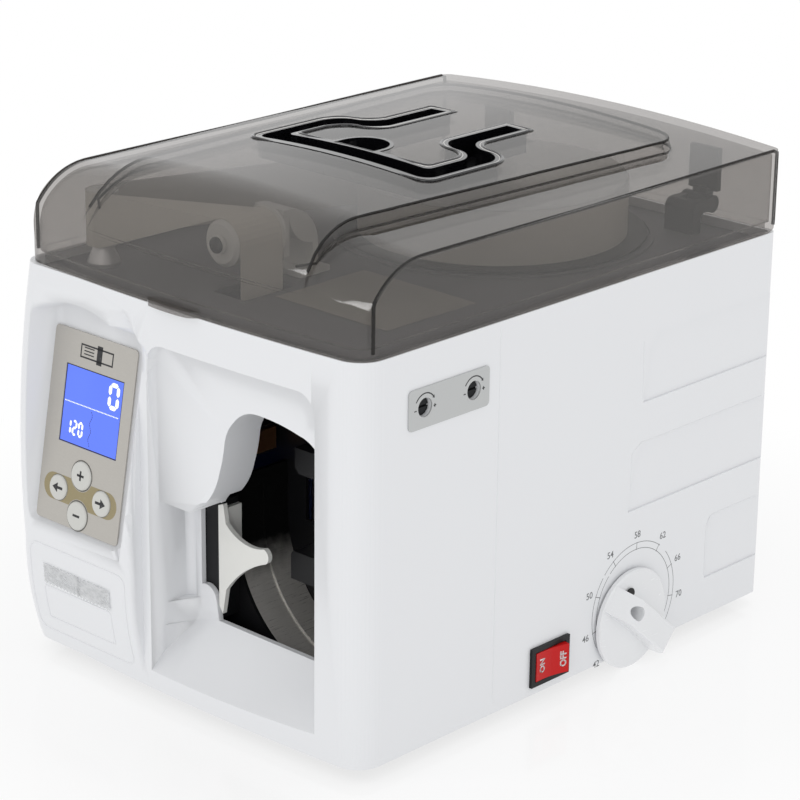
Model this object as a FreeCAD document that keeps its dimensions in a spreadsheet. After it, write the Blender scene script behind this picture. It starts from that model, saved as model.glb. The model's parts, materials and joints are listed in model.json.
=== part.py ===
import FreeCAD, Part
import Sketcher
import math
import os

# A desk-top banknote strapping machine. X is to the right seen from the front, the front faces -Y
# and Z is up. Heights are measured from the underside of the body; every node is lifted by the
# height of the feet, so that the origin lies on the desk. Lengths are in millimetres.

V = FreeCAD.Vector
doc = FreeCAD.newDocument("strapping_machine")
sheet = doc.addObject("Spreadsheet::Sheet", "Sizes")

SIZES = [
    # body
    ("body_half_width", 125), ("front_depth", 165.5), ("rear_depth", 162.75), ("body_height", 215.7),
    ("front_bow", 1423), ("front_corner", 15), ("rear_corner", 5), ("wall", 3), ("shell_seam", -67),
    ("foot_height", 8), ("foot_radius", 9), ("foot_inset", 36), ("base_thickness", 3), ("fit", 0.3),
    ("deck_drop", 5), ("deck_thickness", 3),
    # lid
    ("lid_gap", 0.4), ("lid_front_radius", 42), ("lid_rim_height", 5), ("lid_rim_wall", 5),
    ("plateau_radius", 43), ("plateau_bow", 824), ("plateau_half_width", 90), ("plateau_back", 118),
    ("plateau_rise", 7), ("plateau_shift", 2.5), ("plateau_corner", 14),
    ("hinge_inset", 9), ("hinge_x", 77), ("hinge_width", 20), ("knuckle_radius", 5), ("pin_radius", 1.5),
    ("lip_half_width", 20), ("lip_length", 6), ("lip_thickness", 3),
    ("trim_half_width", 67), ("trim_front", -58), ("trim_back", 58), ("trim_width", 20),
    ("trim_neck", 38), ("trim_depth", 13), ("trim_rim", 3), ("trim_wall", 1.6), ("trim_x", -2),
    ("trim_bend", 16), ("plateau_crown", 48.5), ("rim_step", 4.3),
    ("well_x", -4), ("well_y", -31.5), ("well_radius", 16.6), ("well_corner", 5),
    # console
    ("console_right", -30), ("console_corner", 13), ("console_tilt", 10), ("console_belly", 12.9),
    ("console_foot", 3.1), ("console_brow", 3.4), ("belly_height", 62), ("belly_bow", 593),
    ("foot_bow", 170), ("label_x", -76), ("label_ahead", 1.5), ("label_drop", 86.5),
    ("label_half_width", 32.7), ("label_half_height", 53), ("label_recess", 3.3),
    ("label_thickness", 0.8), ("lcd_half_width", 23), ("lcd_half_height", 21.3), ("lcd_x", 1.8),
    ("lcd_z", 13), ("key_radius", 7.8), ("side_key_radius", 6.9), ("key_rise", 1.0),
    ("key_travel", 1.0), ("stem_radius", 4),
    # throat
    ("throat_left", -24), ("throat_wall", 30), ("throat_drop", 21.7), ("throat_depth", 21),
    ("throat_slope", 2.8), ("hood_low", 105), ("hood_depth", 2), ("sill_height", 36.5),
    ("window_left", -15.6), ("throat_lining", 8), ("ramp_slope", 0.9), ("ledge_width", 8),
    ("ledge_depth", 19), ("ledge_rise", 9.5), ("ledge_foot", 1.2), ("ledge_foot_drop", 12.6),
    # mechanism
    ("tape_x", -6), ("tape_inset", 59.5), ("tape_width", 30), ("frame_gap", 37),
    ("frame_thickness", 2), ("frame_inset", 12), ("frame_left", -60), ("frame_foot", -40),
    ("track_radius", 70), ("track_z", 85), ("track_thickness", 2.5), ("track_inset", 17),
    ("track_drop", 34.7), ("track_flat", 10),
    ("drive_radius", 9.5), ("pinch_radius", 7), ("feed_drop", 25.7), ("axle_radius", 3),
    ("motor_radius", 18), ("motor_length", 44), ("feed_motor_x", -52), ("motor_drop", 63.7),
    ("press_x", 62), ("press_z", 124), ("press_travel", 38), ("anvil_top", 80),
    ("press_pinion_radius", 8), ("rod_radius", 3), ("press_rod_left", 5), ("press_rod_inset", 20),
    ("head_z", 130), ("head_half", 12), ("solenoid_radius", 12), ("solenoid_length", 30),
    # dial and switch
    ("dial_y", 43.5), ("dial_z", 21), ("knob_radius", 28.3), ("knob_gap", 1), ("knob_rim", 3.5),
    ("knob_height", 18), ("grip_width", 15.3), ("pointer_angle", 138.5), ("pinion_radius", 7.64),
    ("stop_distance", 50), ("stop_half_width", 41), ("stop_inset", 70), ("stop_rod_z", 60),
    ("stop_rod_spread", 28), ("stop_plate_rise", 12), ("stop_plate_height", 46),
    ("rocker_y", -22.2), ("rocker_z", 16), ("rocker_half_length", 15.2),
    ("rocker_half_height", 11.1), ("rocker_lean", 8),
    ("plate_inset", 60.9), ("plate_drop", 31.1), ("plate_half_length", 29.3), ("plate_half_height", 10.6),
    ("adjuster_spread", 17.8), ("adjuster_radius", 5),
    # reel and guides on the deck
    ("reel_x", 4), ("reel_y", 62), ("reel_radius", 86), ("roll_radius", 75), ("tray_radius", 90),
    ("post_x", -100), ("post_inset", 33.5), ("post_radius", 8.5), ("post_rise", 11.3),
    ("post_length", 30), ("roller_x", -18.8), ("roller_rise", 26.3), ("roller_radius", 12.5),
    # electrics
    ("board_inset", 7), ("board_thickness", 1.6), ("board_y", -40), ("board_z", 40),
    ("board_width", 110), ("board_height", 120), ("inlet_x", -80), ("inlet_z", 28),
    ("core_height", 52), ("core_inset", 40.75), ("core_side", 51), ("core_width", 36),
    ("core_depth", 62), ("core_limb", 10), ("coil_width", 60),
]

# places that follow other sizes
FOLLOWING = [
    ("deck_top", "=body_height - deck_drop"),
    ("deck_low", "=deck_top - deck_thickness"),
    ("label_y", "=-front_depth - label_ahead"),
    ("label_z", "=body_height - label_drop"),
    ("throat_right", "=body_half_width - throat_wall"),
    ("throat_top", "=body_height - throat_drop"),
    ("throat_back", "=throat_depth + throat_slope - front_depth"),
    ("tape_y", "=tape_inset - front_depth"),
    ("plate_y", "=plate_inset - front_depth"),
    ("plate_z", "=body_height - plate_drop"),
    ("frame_right", "=body_half_width - frame_inset"),
    ("track_x", "=tape_x + track_radius"),
    ("track_right", "=body_half_width - track_inset"),
    ("track_top", "=body_height - track_drop"),
    ("track_corner", "=track_right - track_x - track_flat"),
    ("feed_height", "=body_height - feed_drop"),
    ("feed_motor_z", "=body_height - motor_drop"),
    ("press_rod_right", "=body_half_width - press_rod_inset"),
    ("stop_x", "=body_half_width - stop_inset"),
    ("post_y", "=post_inset - front_depth"),
    ("post_low", "=deck_top + post_rise"),
    ("post_high", "=post_low + post_length"),
    ("roller_z", "=deck_top + roller_rise"),
]


def number(value):
    return value.value if isinstance(value, Size) else float(value)


def words(value):
    return value.text if isinstance(value, Size) else repr(float(value))


class Size:
    """A length worked out from the sheet: its number, and the expression that keeps it bound."""

    def __init__(self, value, text):
        self.value = value
        self.text = text

    def __add__(self, other):
        return Size(self.value + number(other), f"({self.text} + {words(other)})")

    def __radd__(self, other):
        return Size(number(other) + self.value, f"({words(other)} + {self.text})")

    def __sub__(self, other):
        return Size(self.value - number(other), f"({self.text} - {words(other)})")

    def __rsub__(self, other):
        return Size(number(other) - self.value, f"({words(other)} - {self.text})")

    def __mul__(self, other):
        return Size(self.value * number(other), f"({self.text} * {words(other)})")

    def __rmul__(self, other):
        return self * other

    def __truediv__(self, other):
        return Size(self.value / number(other), f"({self.text} / {words(other)})")

    def __rtruediv__(self, other):
        return Size(number(other) / self.value, f"({words(other)} / {self.text})")

    def __neg__(self):
        return Size(-self.value, f"(0 - {self.text})")


class Sizes:
    """The sheet's cells as Size values."""


S = Sizes()
for row, (alias, value) in enumerate(SIZES + FOLLOWING, start=1):
    sheet.set(f"A{row}", alias.replace("_", " "))
    sheet.set(f"B{row}", str(value))
    sheet.setAlias(f"B{row}", alias)
doc.recompute()
for alias, value in SIZES + FOLLOWING:
    setattr(S, alias, Size(float(sheet.get(alias)), f"Sizes.{alias}"))


def sine(angle):
    return Size(math.sin(math.radians(number(angle))), f"sin({words(angle)})")


def root(size):
    return Size(math.sqrt(number(size)), f"sqrt({words(size)})")


def cosine(angle):
    return Size(math.cos(math.radians(number(angle))), f"cos({words(angle)})")


# ---------------------------------------------------------------- helpers

PLANES = {"X": "YZ_Plane", "Y": "XZ_Plane", "Z": "XY_Plane"}
NODES = []


def bind(obj, prop, size):
    """Sets a property to a size, bound to the sheet where the size comes from it."""
    if isinstance(size, Size):
        obj.setExpression(prop, size.text)
    else:
        owner = obj
        parts = prop.split(".")
        if len(parts) == 1:
            setattr(owner, prop, size)
        else:
            obj.setExpression(prop, repr(float(size)))


def new_body(name):
    body = doc.addObject("PartDesign::Body", name)
    body.Label = name
    return body


def is_circle(outline):
    return outline[0] == "circle"


def draw_circle(sketch, outline):
    x, y, radius = outline[1:]
    centre = V(number(x), number(y), 0)
    index = sketch.addGeometry(Part.Circle(centre, V(0, 0, 1), number(radius)), False)
    for kind, size in (("DistanceX", x), ("DistanceY", y)):
        rule = sketch.addConstraint(Sketcher.Constraint(kind, -1, 1, index, 3, number(size)))
        sketch.setExpression(f"Constraints[{rule}]", words(size))
    rule = sketch.addConstraint(Sketcher.Constraint("Radius", index, number(radius)))
    sketch.setExpression(f"Constraints[{rule}]", words(radius))


def arc_between(start, end, radius):
    """The short arc between two points; a positive radius bulges to the right of the way along."""
    chord = end - start
    depth = math.sqrt(radius * radius - chord.Length * chord.Length / 4)
    left = V(-chord.y, chord.x, 0).normalize()
    centre = (start + end) * 0.5 + left * math.copysign(depth, radius)
    first, last = (start, end) if radius > 0 else (end, start)
    low = math.atan2(first.y - centre.y, first.x - centre.x)
    high = math.atan2(last.y - centre.y, last.x - centre.x)
    if high < low:
        high += 2 * math.pi
    return Part.ArcOfCircle(Part.Circle(centre, V(0, 0, 1), abs(radius)), low, high)


def draw_loop(sketch, corners):
    """A closed outline of lines and arcs; a corner's third value is the radius of the arc to it."""
    points = [V(number(c[0]), number(c[1]), 0) for c in corners]
    count = len(corners)
    edges = []
    for i, corner in enumerate(corners):
        start, end = points[i - 1], points[i]
        if len(corner) > 2:
            edges.append(sketch.addGeometry(arc_between(start, end, number(corner[2])), False))
        else:
            edges.append(sketch.addGeometry(Part.LineSegment(start, end), False))

    def turned_back(i):
        return len(corners[i]) > 2 and number(corners[i][2]) < 0

    rules = []
    bounds = []
    for i, corner in enumerate(corners):
        after = (i + 1) % count
        finish = 1 if turned_back(i) else 2
        begin = 2 if turned_back(after) else 1
        rules.append(Sketcher.Constraint("Coincident", edges[i], finish, edges[after], begin))
        bounds.append(None)
        for kind, size in (("DistanceX", corner[0]), ("DistanceY", corner[1])):
            rules.append(Sketcher.Constraint(kind, -1, 1, edges[i], finish, number(size)))
            bounds.append(words(size))
        if len(corner) > 2:
            radius = corner[2] if number(corner[2]) > 0 else -corner[2]
            rules.append(Sketcher.Constraint("Radius", edges[i], number(radius)))
            bounds.append(words(radius))
    first = sketch.ConstraintCount
    sketch.addConstraint(rules)
    for i, bound in enumerate(bounds):
        if bound is not None:
            sketch.setExpression(f"Constraints[{first + i}]", bound)


def sketch_on(body, axis, at, outlines):
    """A sketch square to an axis, at a place along it; its axes are the other two in order."""
    sketch = body.newObject("Sketcher::SketchObject", f"{body.Name}_sketch")
    plane = [f for f in body.Origin.OriginFeatures if f.Role == PLANES[axis]][0]
    sketch.AttachmentSupport = [(plane, "")]
    sketch.MapMode = "FlatFace"
    bind(sketch, "AttachmentOffset.Base.z", -at if axis == "Y" else at)
    for outline in outlines:
        if is_circle(outline):
            draw_circle(sketch, outline)
        else:
            draw_loop(sketch, outline)
    return sketch


def pad(body, axis, low, high, *outlines, taper=0):
    """Adds the outlines' prism between two places along an axis."""
    sketch = sketch_on(body, axis, high if axis == "Y" else low, outlines)
    feature = body.newObject("PartDesign::Pad", f"{body.Name}_pad")
    feature.Profile = sketch
    bind(feature, "Length", high - low)
    if taper:
        feature.TaperAngle = taper
    return feature


def pocket(body, axis, low, high, *outlines):
    """Cuts the outlines' prism between two places along an axis, and checks that it cut."""
    doc.recompute()
    before = body.Shape.Volume
    sketch = sketch_on(body, axis, low if axis == "Y" else high, outlines)
    feature = body.newObject("PartDesign::Pocket", f"{body.Name}_pocket")
    feature.Profile = sketch
    bind(feature, "Length", high - low)
    doc.recompute()
    if body.Shape.Volume >= before:
        raise RuntimeError(f"{body.Name}: a pocket cut nothing")
    return feature


def turn(body, outline, angle=360):
    """Adds the outline (radius, height) turned about the body's own Z axis."""
    sketch = sketch_on(body, "Y", 0, [outline])
    feature = body.newObject("PartDesign::Revolution", f"{body.Name}_turned")
    feature.Profile = sketch
    feature.ReferenceAxis = (sketch, ["V_Axis"])
    feature.Angle = angle
    return feature


def round_edges(body, radius, test):
    """Rounds the edges of the body's last feature that pass a test."""
    doc.recompute()
    base = body.Tip
    names = [f"Edge{i}" for i, edge in enumerate(base.Shape.Edges, 1) if test(edge)]
    if not names:
        raise RuntimeError(f"{body.Name}: no edge to round")
    fillet = body.newObject("PartDesign::Fillet", f"{body.Name}_fillet")
    fillet.Base = (base, names)
    bind(fillet, "Radius", radius)
    return fillet


def middle_of(edge):
    return edge.valueAt((edge.FirstParameter + edge.LastParameter) / 2)


def runs_along(edge, direction):
    if edge.Curve.TypeId != "Part::GeomLine":
        return False
    return abs(edge.tangentAt(edge.FirstParameter).dot(direction)) > 0.999


def box(name, x, y, z):
    """A box from its low and high place on each axis."""
    obj = doc.addObject("Part::Box", name)
    for size, (low, high), axis in (("Length", x, "x"), ("Width", y, "y"), ("Height", z, "z")):
        bind(obj, size, high - low)
        bind(obj, f"Placement.Base.{axis}", low)
    return obj


TURNS = {
    "X": FreeCAD.Rotation(V(0, 1, 0), 90),
    "Y": FreeCAD.Rotation(V(1, 0, 0), -90),
    "Z": FreeCAD.Rotation(),
}


def place(obj, x, y, z, rotation=None):
    if rotation is not None:
        obj.Placement = FreeCAD.Placement(V(0, 0, 0), rotation)
    for axis, size in (("x", x), ("y", y), ("z", z)):
        bind(obj, f"Placement.Base.{axis}", size)
    return obj


def rod(name, axis, radius, low, high, first, second):
    """A cylinder along an axis; first and second are its centre on the other two axes in order."""
    obj = doc.addObject("Part::Cylinder", name)
    bind(obj, "Radius", radius)
    bind(obj, "Height", high - low)
    centre = {"X": (low, first, second), "Y": (first, low, second), "Z": (first, second, low)}
    return place(obj, *centre[axis], TURNS[axis])


def fuse(name, *parts):
    obj = doc.addObject("Part::MultiFuse", name)
    obj.Shapes = list(parts)
    obj.Refine = True
    return obj


def cut(name, base, *tools):
    tool = tools[0] if len(tools) == 1 else fuse(f"{name}_cuts", *tools)
    obj = doc.addObject("Part::Cut", name)
    obj.Base = base
    obj.Tool = tool
    obj.Refine = True
    return obj


def common(name, *parts):
    obj = doc.addObject("Part::MultiCommon", name)
    obj.Shapes = list(parts)
    obj.Refine = True
    return obj


def group(name, *parts):
    """Several separate solids that share one node."""
    obj = doc.addObject("Part::Compound", name)
    obj.Links = list(parts)
    return obj


def node(obj, name):
    """Names a finished sub-part and stands it on the feet."""
    obj.Label = name
    base = obj.Placement.Base
    held = dict(obj.ExpressionEngine).get("Placement.Base.z") or dict(obj.ExpressionEngine).get(
        ".Placement.Base.z"
    )
    text = f"{held} + Sizes.foot_height" if held else f"{base.z!r} + Sizes.foot_height"
    obj.setExpression("Placement.Base.z", text)
    NODES.append((name, obj))
    return obj


def rectangle(x_low, y_low, x_high, y_high):
    return [(x_low, y_low), (x_high, y_low), (x_high, y_high), (x_low, y_high)]


# ---------------------------------------------------------------- casings


def plan_block(name, inset, low, high):
    """The body's plan, set in from the outer faces, between two heights."""
    half = S.body_half_width - inset
    front = -S.front_depth + inset
    rear = S.rear_depth - inset
    body = new_body(name)
    pad(body, "Z", low, high, [(-half, rear), (-half, front), (half, front, S.front_bow), (half, rear)])
    up = V(0, 0, 1)
    round_edges(body, S.front_corner - inset, lambda e: runs_along(e, up) and middle_of(e).y < 0)
    if number(S.rear_corner - inset) > 0:
        round_edges(body, S.rear_corner - inset, lambda e: runs_along(e, up) and middle_of(e).y > 0)
    return body


def console_form(name, inset):
    """The control side of the front, which swells forward between its top and bottom edges."""
    left = -S.body_half_width + inset
    right = S.console_right - inset
    body = new_body(name)
    profile = [
        (-S.front_depth - S.console_foot + inset, 0, S.foot_bow),
        (-S.front_depth + S.front_corner, 0),
        (-S.front_depth + S.front_corner, S.body_height),
        (-S.front_depth - S.console_brow + inset, S.body_height),
        (-S.front_depth - S.console_belly + inset, S.belly_height, S.belly_bow),
    ]
    pad(body, "X", left, right, profile)

    def front_edge(edge, x):
        return abs(middle_of(edge).x - x) < 0.01 and middle_of(edge).y < -S.front_depth.value + 0.5

    corner = S.console_corner - inset
    round_edges(body, corner, lambda e: front_edge(e, left.value) and not runs_along(e, V(0, 1, 0)))
    if number(inset) < 3:
        round_edges(body, 3, lambda e: front_edge(e, right.value) and not runs_along(e, V(0, 1, 0)))
    return body


LABEL_TURN = FreeCAD.Rotation(V(1, 0, 0), 90 - S.console_tilt.value)


def on_label(body):
    """Puts a body drawn with its face up on the tilted face of the console."""
    body.Placement = FreeCAD.Placement(V(0, 0, 0), LABEL_TURN)
    body.setExpression("Placement.Rotation.Angle", f"90 - {S.console_tilt.text}")
    return place(body, S.label_x, S.label_y, S.label_z)


def label_pocket_outline(margin):
    half = S.label_half_width + S.label_recess + margin
    low = -S.label_half_height - S.label_recess + 0.8 - margin
    high = S.label_half_height + 8 + margin
    return [(-half, low), (half, low), (half, high), (-half, high, 73)]


def label_pocket():
    body = new_body("label_pocket")
    pad(body, "Z", 0, S.front_corner * 4, label_pocket_outline(0))
    round_edges(body, 6, lambda e: runs_along(e, V(0, 0, 1)))
    on_label(body)
    return body


def label_surround():
    body = new_body("label_surround")
    pad(body, "Z", -S.wall, S.front_corner * 4, label_pocket_outline(S.wall))
    on_label(body)
    return body


def label_openings():
    """Holes through the console's floor for the display and the key stems."""
    body = new_body("label_openings")
    x, z = S.lcd_x, S.lcd_z
    width, height = S.lcd_half_width + 1, S.lcd_half_height + 1
    pad(body, "Z", -S.wall - 1, 1, rectangle(x - width, z - height, x + width, z + height))
    for key_x, key_z, radius in KEYS.values():
        pad(body, "Z", -S.wall - 1, 1, ("circle", key_x, key_z, S.stem_radius + S.fit))
        pad(body, "Z", -1.6, 1, ("circle", key_x, key_z, radius + S.fit * 2))
    on_label(body)
    return body


KEYS = {
    "key_plus": (0, -22.9, S.key_radius),
    "key_minus": (0, -45, S.key_radius),
    "key_back": (-17, -33.6, S.side_key_radius),
    "key_feed": (17.6, -33.6, S.side_key_radius),
}


def throat_cuts():
    """The recess for the notes: a shallow step under a hood, a deep lower pocket and the window."""
    front = -S.front_depth
    ahead = front - 20
    floor = front + S.hood_depth
    back = S.throat_back
    left, right = S.throat_left, S.throat_right

    shallow = new_body("throat_step")
    pad(shallow, "Y", ahead, floor, rectangle(left, S.hood_low - 10, right, S.throat_top))
    round_edges(
        shallow, 12, lambda e: runs_along(e, V(0, 1, 0)) and middle_of(e).z > S.hood_low.value
    )

    deep = new_body("throat_pocket")
    ramp_foot = S.sill_height - (back - ahead) * S.ramp_slope
    ramp = [(ahead, ramp_foot), (back, S.sill_height), (back, S.hood_low), (ahead, S.hood_low)]
    pad(deep, "X", left, right, ramp)
    round_edges(
        deep, 4, lambda e: runs_along(e, V(0, 0, 1)) and abs(middle_of(e).x - left.value) < 0.01
    )

    def up(share):
        return S.hood_low + (S.throat_top - S.hood_low) * share

    window = new_body("throat_window")
    outline = [
        (-2.5, S.sill_height),
        (right, S.sill_height),
        (right, up(0.618)),
        (right - 15, up(0.713), 22),
        (right - 45, up(0.747), 120),
        (33, up(0.652), 22),
        (26, up(0.483), 24),
        (22, up(0.303), -90),
        (12, up(0.101), -40),
        (0, S.hood_low - 0.5, 18),
        (S.window_left, S.hood_low - 0.5),
        (S.window_left, 54),
        (-4.6, 48, -8),
    ]
    pad(window, "Y", ahead, back + 20, outline)
    return shallow, deep, window


def throat_ledge():
    """The wedge in the pocket's left corner, which stands on the ramp with a wider foot."""
    body = new_body("throat_ledge")
    left, back = S.throat_left - 1, S.throat_back + 0.5
    low, top = S.sill_height - S.ledge_depth, S.sill_height + S.ledge_rise
    for reach, height in ((S.ledge_foot, top - S.ledge_foot_drop), (0, top)):
        pad(body, "Z", low, height, [
            (left, S.throat_back - S.ledge_depth - reach * 2),
            (S.throat_left + S.ledge_width + reach, back),
            (left, back),
        ])
    return body


def front_shell():
    low, high = 0, S.body_height
    outer = plan_block("front_outer", 0, low, high)
    inner = plan_block("front_inner", S.wall, low - 1, high + 1)
    hollow = fuse("front_hollow", inner, console_form("console_inner", S.wall))
    skin = cut("front_skin", fuse("front_solid", outer, console_form("console_outer", 0)), hollow)
    block = box(
        "throat_block",
        (S.throat_left - S.throat_lining, S.throat_right + S.throat_lining),
        (-S.front_depth - 30, S.throat_back + S.wall),
        (4, S.throat_top + S.throat_lining),
    )
    throat = common("throat_core", block, plan_block("throat_limit", S.wall / 2, 0, S.body_height))
    floor = common("label_floor", label_surround(), console_form("console_limit", S.wall / 2))
    holes = [
        rod(f"adjuster_hole_{i}", "X", S.adjuster_radius, S.body_half_width - 10,
            S.body_half_width + 5, S.plate_y + side * S.adjuster_spread, S.plate_z)
        for i, side in enumerate((-1, 1))
    ]
    behind = box("behind_seam", (-200, 200), (S.shell_seam, 400), (-50, 400))
    whole = fuse("front_whole", skin, throat, floor)
    shell = cut(
        "front_cut", whole, *throat_cuts(), label_pocket(), label_openings(), *holes, behind
    )
    return node(fuse("front_shell", shell, throat_ledge()), "front_shell")


def side_panel(name, low, high, left, chamfer, drop):
    """A shallow sunk panel on a side of the rear shell, which runs out over the rear corner."""
    body = new_body(name)
    outline = [
        (left, low),
        (S.rear_depth + 2, low),
        (S.rear_depth + 2, high),
        (left + chamfer + drop, high),
        (left + chamfer / 2, high - chamfer),
    ]
    pad(body, "X", S.body_half_width - 1, S.body_half_width + 2, outline)
    pad(body, "X", -S.body_half_width - 2, -S.body_half_width + 1, outline)
    return body


def rear_shell():
    low, high = 0, S.body_height
    outer = plan_block("rear_outer", 0, low, high)
    inner = plan_block("rear_inner", S.wall, low - 1, high + 1)
    skin = cut("rear_skin", outer, inner)
    ahead = box("ahead_of_seam", (-200, 200), (-400, S.shell_seam), (-50, 400))
    panels = [
        side_panel("panel_top", 143.3, 180.8, 50, 8, 2),
        side_panel("panel_mid", 82.7, 120.2, 40.5, 8, 3),
        side_panel("panel_low", 23, 60, 111.5, 1.5, 1),
    ]
    for panel in panels:
        panel.AllowCompound = True
    shaft_hole = rod("shaft_hole", "X", 5.5, S.body_half_width - 10, S.body_half_width + 5, S.dial_y,
                     S.dial_z)
    switch_hole = box(
        "switch_hole",
        (S.body_half_width - 10, S.body_half_width + 5),
        (S.rocker_y - S.rocker_half_length + 1.5, S.rocker_y + S.rocker_half_length - 1.5),
        (S.rocker_z - S.rocker_half_height + 1.5, S.rocker_z + S.rocker_half_height - 1.5),
    )
    inlet_hole = box(
        "inlet_hole",
        (S.inlet_x - 14, S.inlet_x + 14),
        (S.rear_depth - 10, S.rear_depth + 5),
        (S.inlet_z - 10, S.inlet_z + 10),
    )
    vents = new_body("vents")
    vents.AllowCompound = True
    slots = []
    for i in range(7):
        z = 70 + i * 9
        slots.append(rectangle(20, z, 90, z + 4))
    pad(vents, "Y", S.rear_depth - 10, S.rear_depth + 5, *slots)
    shell = cut("rear_shell", skin, ahead, *panels, shaft_hole, switch_hole, inlet_hole, vents)
    return node(shell, "rear_shell")


def base_plate():
    inset = S.wall + S.fit
    plate = plan_block("base_plate", inset, 0, S.base_thickness)
    return node(plate, "base_plate")


def feet():
    """Four rubber feet, alike, in one node."""
    x = S.body_half_width - S.foot_inset
    low = -S.foot_height
    radius = S.foot_radius
    feet_alike = []
    for side in (-1, 1):
        for y in (-S.front_depth + S.foot_inset, S.rear_depth - S.foot_inset):
            foot = new_body("foot")
            turn(foot, [(0, low), (radius - 1, low), (radius, low + 1), (radius + 1, 0), (0, 0)])
            feet_alike.append(place(foot, side * x, y, 0))
    node(group("feet", *feet_alike), "feet")


def deck():
    inset = S.wall + S.fit
    top, low = S.deck_top, S.deck_low
    plate = plan_block("deck_plate", inset, low, top)
    ring = new_body("tray_ring")
    pad(ring, "Z", top - 1, top + 1.5, ("circle", S.reel_x, S.reel_y, S.tray_radius),
        ("circle", S.reel_x, S.reel_y, S.tray_radius - 2.5))
    slot = box(
        "tape_slot",
        (S.tape_x - 18, S.tape_x + 6),
        (S.tape_y - S.tape_width / 2 - 3, S.tape_y + S.tape_width / 2 + 3),
        (low - 1, top + 1),
    )
    return node(cut("deck_part", fuse("deck_solid", plate, ring), slot), "deck")


# ---------------------------------------------------------------- lid


def bowed_form(name, half, edge_radius, bow, axis_y, axis_z, rear, extra=5):
    """A crowned top that turns down over the front: one bowed section, drawn straight back and
    swung about a line across the front. It is wider than its half by an extra, to be trimmed."""
    body = new_body(name)
    wide = half + extra
    edge = edge_radius + root(bow * bow - wide * wide) - root(bow * bow - half * half)
    section = [(-wide, 0), (wide, 0), (wide, edge), (-wide, edge, bow)]
    sketch = sketch_on(body, "Y", rear, [section])
    bind(sketch, "AttachmentOffset.Base.y", axis_z)
    top = body.newObject("PartDesign::Pad", f"{name}_top")
    top.Profile = sketch
    bind(top, "Length", rear - axis_y)
    doc.recompute()
    front_sketch = sketch_on(body, "Y", axis_y, [section])
    bind(front_sketch, "AttachmentOffset.Base.y", axis_z)
    front = body.newObject("PartDesign::Revolution", f"{name}_front")
    front.Profile = front_sketch
    front.ReferenceAxis = (front_sketch, ["H_Axis"])
    front.Angle = 90
    front.Reversed = False
    doc.recompute()
    if body.Shape.BoundBox.YMin > axis_y.value - edge_radius.value + 1:
        front.Reversed = True
        doc.recompute()
    return body


def lid_form(name, inset, low):
    axis_y = -S.front_depth + S.lid_front_radius
    axis_z = S.body_height + S.rim_step
    half = S.body_half_width - inset
    rear = S.rear_depth - inset
    crown = bowed_form(f"{name}_crown", half, S.lid_front_radius - inset, S.front_bow, axis_y, axis_z, rear)
    skirt = box(f"{name}_skirt", (-200, 200), (-200, 200), (low - 5, axis_z))
    limit = plan_block(f"{name}_limit", inset, low, S.body_height + 80)
    step = bowed_form(
        f"{name}_step", S.plateau_half_width + 5, S.plateau_radius - inset, S.plateau_bow,
        axis_y + S.plateau_shift, axis_z + S.plateau_rise, S.plateau_back + 5 - inset,
    )
    outline = new_body(f"{name}_outline")
    wide = S.plateau_half_width + 6 - inset
    narrow = S.plateau_half_width - 8 - inset
    back = S.plateau_back + 6 - inset
    ahead = -S.front_depth - 10
    plan = [(-narrow, ahead), (narrow, ahead), (wide, back), (-wide, back)]
    pad(outline, "Z", axis_z + 20, axis_z + 65, plan, taper=-12)
    round_edges(outline, S.plateau_corner, lambda e: middle_of(e).y > 0 and abs(
        e.tangentAt(e.FirstParameter).z) > 0.8)
    plateau = common(f"{name}_plateau", step, outline)
    return fuse(name, common(f"{name}_shape", fuse(f"{name}_all", crown, skirt), limit), plateau)


def trim_outline(inset):
    """The handle's groove: a band across the front and two arms that step inwards to the back."""
    side = S.trim_half_width - inset
    near = S.trim_half_width - S.trim_width + inset
    neck_out = S.trim_neck - inset
    neck_in = S.trim_neck - S.trim_width + inset
    front = S.trim_front + inset
    behind = S.trim_front + S.trim_width + 2 - inset
    back = S.trim_back - inset
    bend = S.trim_bend
    return [
        (side - 8, front),
        (side, front + 8, 8),
        (side, -4 - inset / 3),
        (side - (side - neck_out) / 2, bend / 2 - inset / 2 + 2, 14),
        (neck_out, bend - inset / 3 + 4, -14),
        (neck_out, back),
        (neck_in, back),
        (neck_in, bend - 12 + inset / 3 + 4),
        (near - (near - neck_in) / 2, -12 + bend / 2 + inset / 2, 14),
        (near, -16 + inset / 3, -14),
        (near, behind + 4),
        (near - 4, behind, -4),
        (-near + 4, behind),
        (-near, behind + 4, -4),
        (-near, -16 + inset / 3),
        (-near + (near - neck_in) / 2, -12 + bend / 2 + inset / 2, -14),
        (-neck_in, bend - 12 + inset / 3 + 4, 14),
        (-neck_in, back),
        (-neck_out, back),
        (-neck_out, bend - inset / 3 + 4),
        (-side + (side - neck_out) / 2, bend / 2 - inset / 2 + 2, -14),
        (-side, -4 - inset / 3, 14),
        (-side, front + 8),
        (-side + 8, front, 8),
    ]


def trim_top():
    return S.body_height + S.rim_step + S.plateau_rise + S.plateau_crown


def well_outline(inset):
    """The finger well behind the handle's front bar: a round back, and a rim half as wide."""
    half = S.well_radius - inset / 2
    front = S.trim_front + S.trim_width - S.trim_rim / 2 + 0.5
    left, right = S.well_x - half, S.well_x + half
    return [
        (left, front), (right, front), (right, S.well_y), (S.well_x, S.well_y + half, half),
        (left, S.well_y, half),
    ]


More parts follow.
